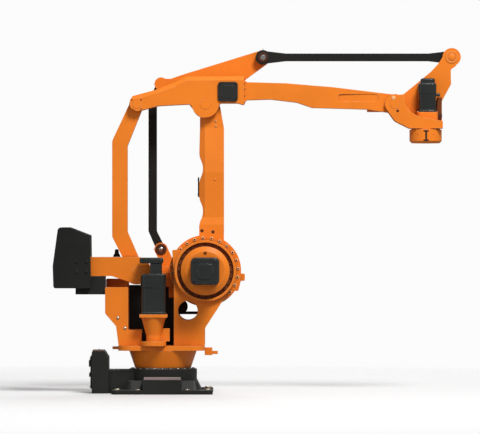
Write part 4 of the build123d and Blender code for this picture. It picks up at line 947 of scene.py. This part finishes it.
class ROBOTARM_OT_wrist_fittings(bpy.types.Operator):
    """Plugs, collar screws, a dark strip and foot of painted shade, and upper pin cap of the wrist"""
    bl_idname = "robotarm.wrist_fittings"
    bl_label = "Wrist fittings"

    def execute(self, context):
        near, far = near_face("wrist_near_plate"), far_face("wrist_far_plate")
        # The pale plug is a paler orange as painted highlight; the dark disc paints a hole's shade
        for name, look, shape, size, (x, z) in (
                ("wrist_plug", "pale_orange_highlight", dome_shape, PALE_PLUG, PALE_PLUG_AT),
                ("wrist_hole_shade", "dark_brown_and_painted_shade", disc_shape, HOLE_SHADE, HOLE_SHADE_AT)):
            assemble(name, "wrist", look, (shape, size, [at(WRIST.x + x, near, WRIST.z + z, NEAR)]))
        _, high, middle = span("wrist_collar")
        screw_x, screw_y = COLLAR_SCREWS_AT
        screws = [at(middle.x + side_x * screw_x, side_y * screw_y, high.z) for side_x, side_y in CORNERS]
        assemble("collar_screws", "wrist", "ground_steel", (screw_shape, COLLAR_SCREW, screws))
        # A dark strip and foot beside the motor paint the shade of the far plate
        for name, look, size, up in (("wrist_shade_strip", "dark_amber_and_painted_shade", SHADE_STRIP, SHADE_STRIP_UP),
                                     ("wrist_shade_foot", "dark_brown_and_painted_shade", SHADE_FOOT, SHADE_FOOT_UP)):
            assemble(name, "wrist", look,
                     (plate_shape, size, [at(TOOL.x + SHADE_STRIP_OUT, SHADE_STRIP_Y, WRIST.z + up, NEAR)]))
        pin = [at(TOP_FRONT.x, far - NECK_THICK, TOP_FRONT.z, NEAR)]
        assemble("neck_pin_cap", "wrist", "satin_orange",
                 (washer_shape, NECK_WASHER, pin), (dome_shape, NECK_DOME, pin))
        neck = [at(WRIST.x + x, far, WRIST.z + z, FAR) for x, z in NECK_PLUGS]
        assemble("neck_plugs", "wrist", "satin_orange", (dome_shape, NECK_PLUG, neck))
        return {"FINISHED"}


class ROBOTARM_OT_flange_fittings(bpy.types.Operator):
    """Centring ring, dark plate of painted shade in the index notch, and rim screws of the tool flange"""
    bl_idname = "robotarm.flange_fittings"
    bl_label = "Tool flange fittings"

    def execute(self, context):
        low, high, middle = span("tool_flange")
        assemble("centring_ring", "flange", "ground_steel",
                 (washer_shape, CENTRING_RING, [at(TOOL.x, 0.0, low.z + TOOL_BORE_DEPTH, DOWN)]))
        # A dark plate with two bars paints the shade of the index notch
        y = low.y + NOTCH_SHADE_PROUD
        bars = [at(TOOL.x, y, z, NEAR) for z in (high.z - NOTCH_SHADE_BAR_DOWN, low.z + NOTCH_SHADE_BAR_UP)]
        assemble("index_notch_shade", "flange", "dark_brown_and_painted_shade",
                 (plate_shape, (NOTCH_SHADE_WIDE, high.z - low.z - NOTCH_SHADE_LESS, *NOTCH_SHADE_PLATE),
                  [at(TOOL.x, y, middle.z + NOTCH_SHADE_UP, NEAR)]),
                 (plate_shape, (*NOTCH_SHADE_BAR, *NOTCH_SHADE_PLATE), bars))
        out = Matrix.Translation((FLANGE_SCREW_R, 0.0, 0.0)) @ FRONT
        rim = [at(TOOL.x, 0.0, low.z + FLANGE_SCREW_UP) @ Matrix.Rotation(turn, 4, "Z") @ out
               for turn in FLANGE_SCREW_TURNS]
        assemble("flange_screws", "flange", "satin_orange", (screw_shape, FLANGE_SCREW, rim))
        return {"FINISHED"}


class ROBOTARM_OT_stage(bpy.types.Operator):
    """Set out the plain floor, the soft lights and the camera"""
    bl_idname = "robotarm.stage"
    bl_label = "Stage"

    def execute(self, context):
        given = context.scene.arm_stage
        make_floor(given)
        make_lights()
        make_camera(given)
        context.scene.view_settings.view_transform = "Standard"
        return {"FINISHED"}


def make_floor(given):
    """A wide plain floor that fades into the backdrop."""
    bm = bmesh.new()
    bmesh.ops.create_circle(bm, cap_ends=True, segments=64, radius=FLOOR_RADIUS)
    floor = new_object("floor", new_mesh("floor", bm))
    material = bpy.data.materials.new("floor_plain")
    material.use_nodes = True
    tree = material.node_tree
    shader = tree.nodes["Principled BSDF"]
    length = feed(tree, add(tree, "ShaderNodeVectorMath", operation="LENGTH"), Vector=object_place(tree))
    fade = ramp(tree, length.outputs["Value"], *FLOOR_FADE, start=1.0, end=0.0)
    seen = add(tree, "ShaderNodeLightPath").outputs["Is Camera Ray"]
    tone = blend_colour(tree, seen, FLOOR_BOUNCE, (*given.floor, 1.0))
    feed(tree, shader, Base_Color=tone, Roughness=0.85, Alpha=fade)
    floor.data.materials.append(material)


def make_lights():
    """A pale backdrop for the camera, a dimmer white room for the object, and three large soft lamps."""
    world = bpy.data.worlds.new("studio")
    bpy.context.scene.world = world
    world.use_nodes = True
    tree = world.node_tree
    room = tree.nodes["Background"]
    feed(tree, room, Color=ROOM_COLOUR, Strength=ROOM_LIGHT)
    backdrop = add(tree, "ShaderNodeBackground")
    feed(tree, backdrop, Color=BACKDROP, Strength=1.0)
    seen = add(tree, "ShaderNodeMixShader")
    tree.links.new(add(tree, "ShaderNodeLightPath").outputs["Is Camera Ray"], seen.inputs["Fac"])
    tree.links.new(room.outputs[0], seen.inputs[1])
    tree.links.new(backdrop.outputs[0], seen.inputs[2])
    tree.links.new(seen.outputs[0], tree.nodes["World Output"].inputs["Surface"])
    for name, place, power, size in LAMPS:
        lamp = bpy.data.lights.new(name, "AREA")
        lamp.energy = power
        lamp.size = size
        aim(new_object(name, lamp), place, LAMP_AIM)


def make_camera(given):
    """Long lens from the near side, level with the machine's middle."""
    data = bpy.data.cameras.new("camera")
    data.sensor_width = SENSOR_MM
    data.lens = data.sensor_width * given.distance / given.view_width
    camera = new_object("camera", data)
    aim(camera, (given.centre_x, -given.distance, given.centre_z), (given.centre_x, 0.0, given.centre_z))
    bpy.context.scene.camera = camera


class ROBOTARM_PT_dresser(bpy.types.Panel):
    """Sizes, colours and operators of the palletising arm"""
    bl_idname = "ROBOTARM_PT_dresser"
    bl_label = "Palletising arm"
    bl_space_type = "VIEW_3D"
    bl_region_type = "UI"
    bl_category = "Palletiser"

    def draw(self, context):
        layout = self.layout
        for group in (context.scene.arm_finish, context.scene.arm_stage):
            column = layout.column(align=True)
            for name in group.__annotations__:
                column.prop(group, name)
        for operator in OPERATORS:
            layout.operator(operator.bl_idname)


OPERATORS = (
    ROBOTARM_OT_finish_frame, ROBOTARM_OT_hub_screws, ROBOTARM_OT_drive_fittings, ROBOTARM_OT_drive_motors,
    ROBOTARM_OT_base_fittings, ROBOTARM_OT_column_fittings, ROBOTARM_OT_link_fittings,
    ROBOTARM_OT_crank_fittings, ROBOTARM_OT_rod_ends, ROBOTARM_OT_arm_fittings, ROBOTARM_OT_wrist_fittings,
    ROBOTARM_OT_flange_fittings, ROBOTARM_OT_stage,
)
CLASSES = (ArmFinish, ArmStage, *OPERATORS, ROBOTARM_PT_dresser)


def register():
    """Make the classes and their settings known to Blender."""
    for cls in CLASSES:
        bpy.utils.register_class(cls)
    bpy.types.Scene.arm_finish = bpy.props.PointerProperty(type=ArmFinish)
    bpy.types.Scene.arm_stage = bpy.props.PointerProperty(type=ArmStage)


def unregister():
    """Take them out again."""
    del bpy.types.Scene.arm_stage
    del bpy.types.Scene.arm_finish
    for cls in reversed(CLASSES):
        bpy.utils.unregister_class(cls)


def main():
    """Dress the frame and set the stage."""
    register()
    for operator in OPERATORS:
        group, name = operator.bl_idname.split(".")
        getattr(getattr(bpy.ops, group), name)()


if __name__ == "__main__":
    main()
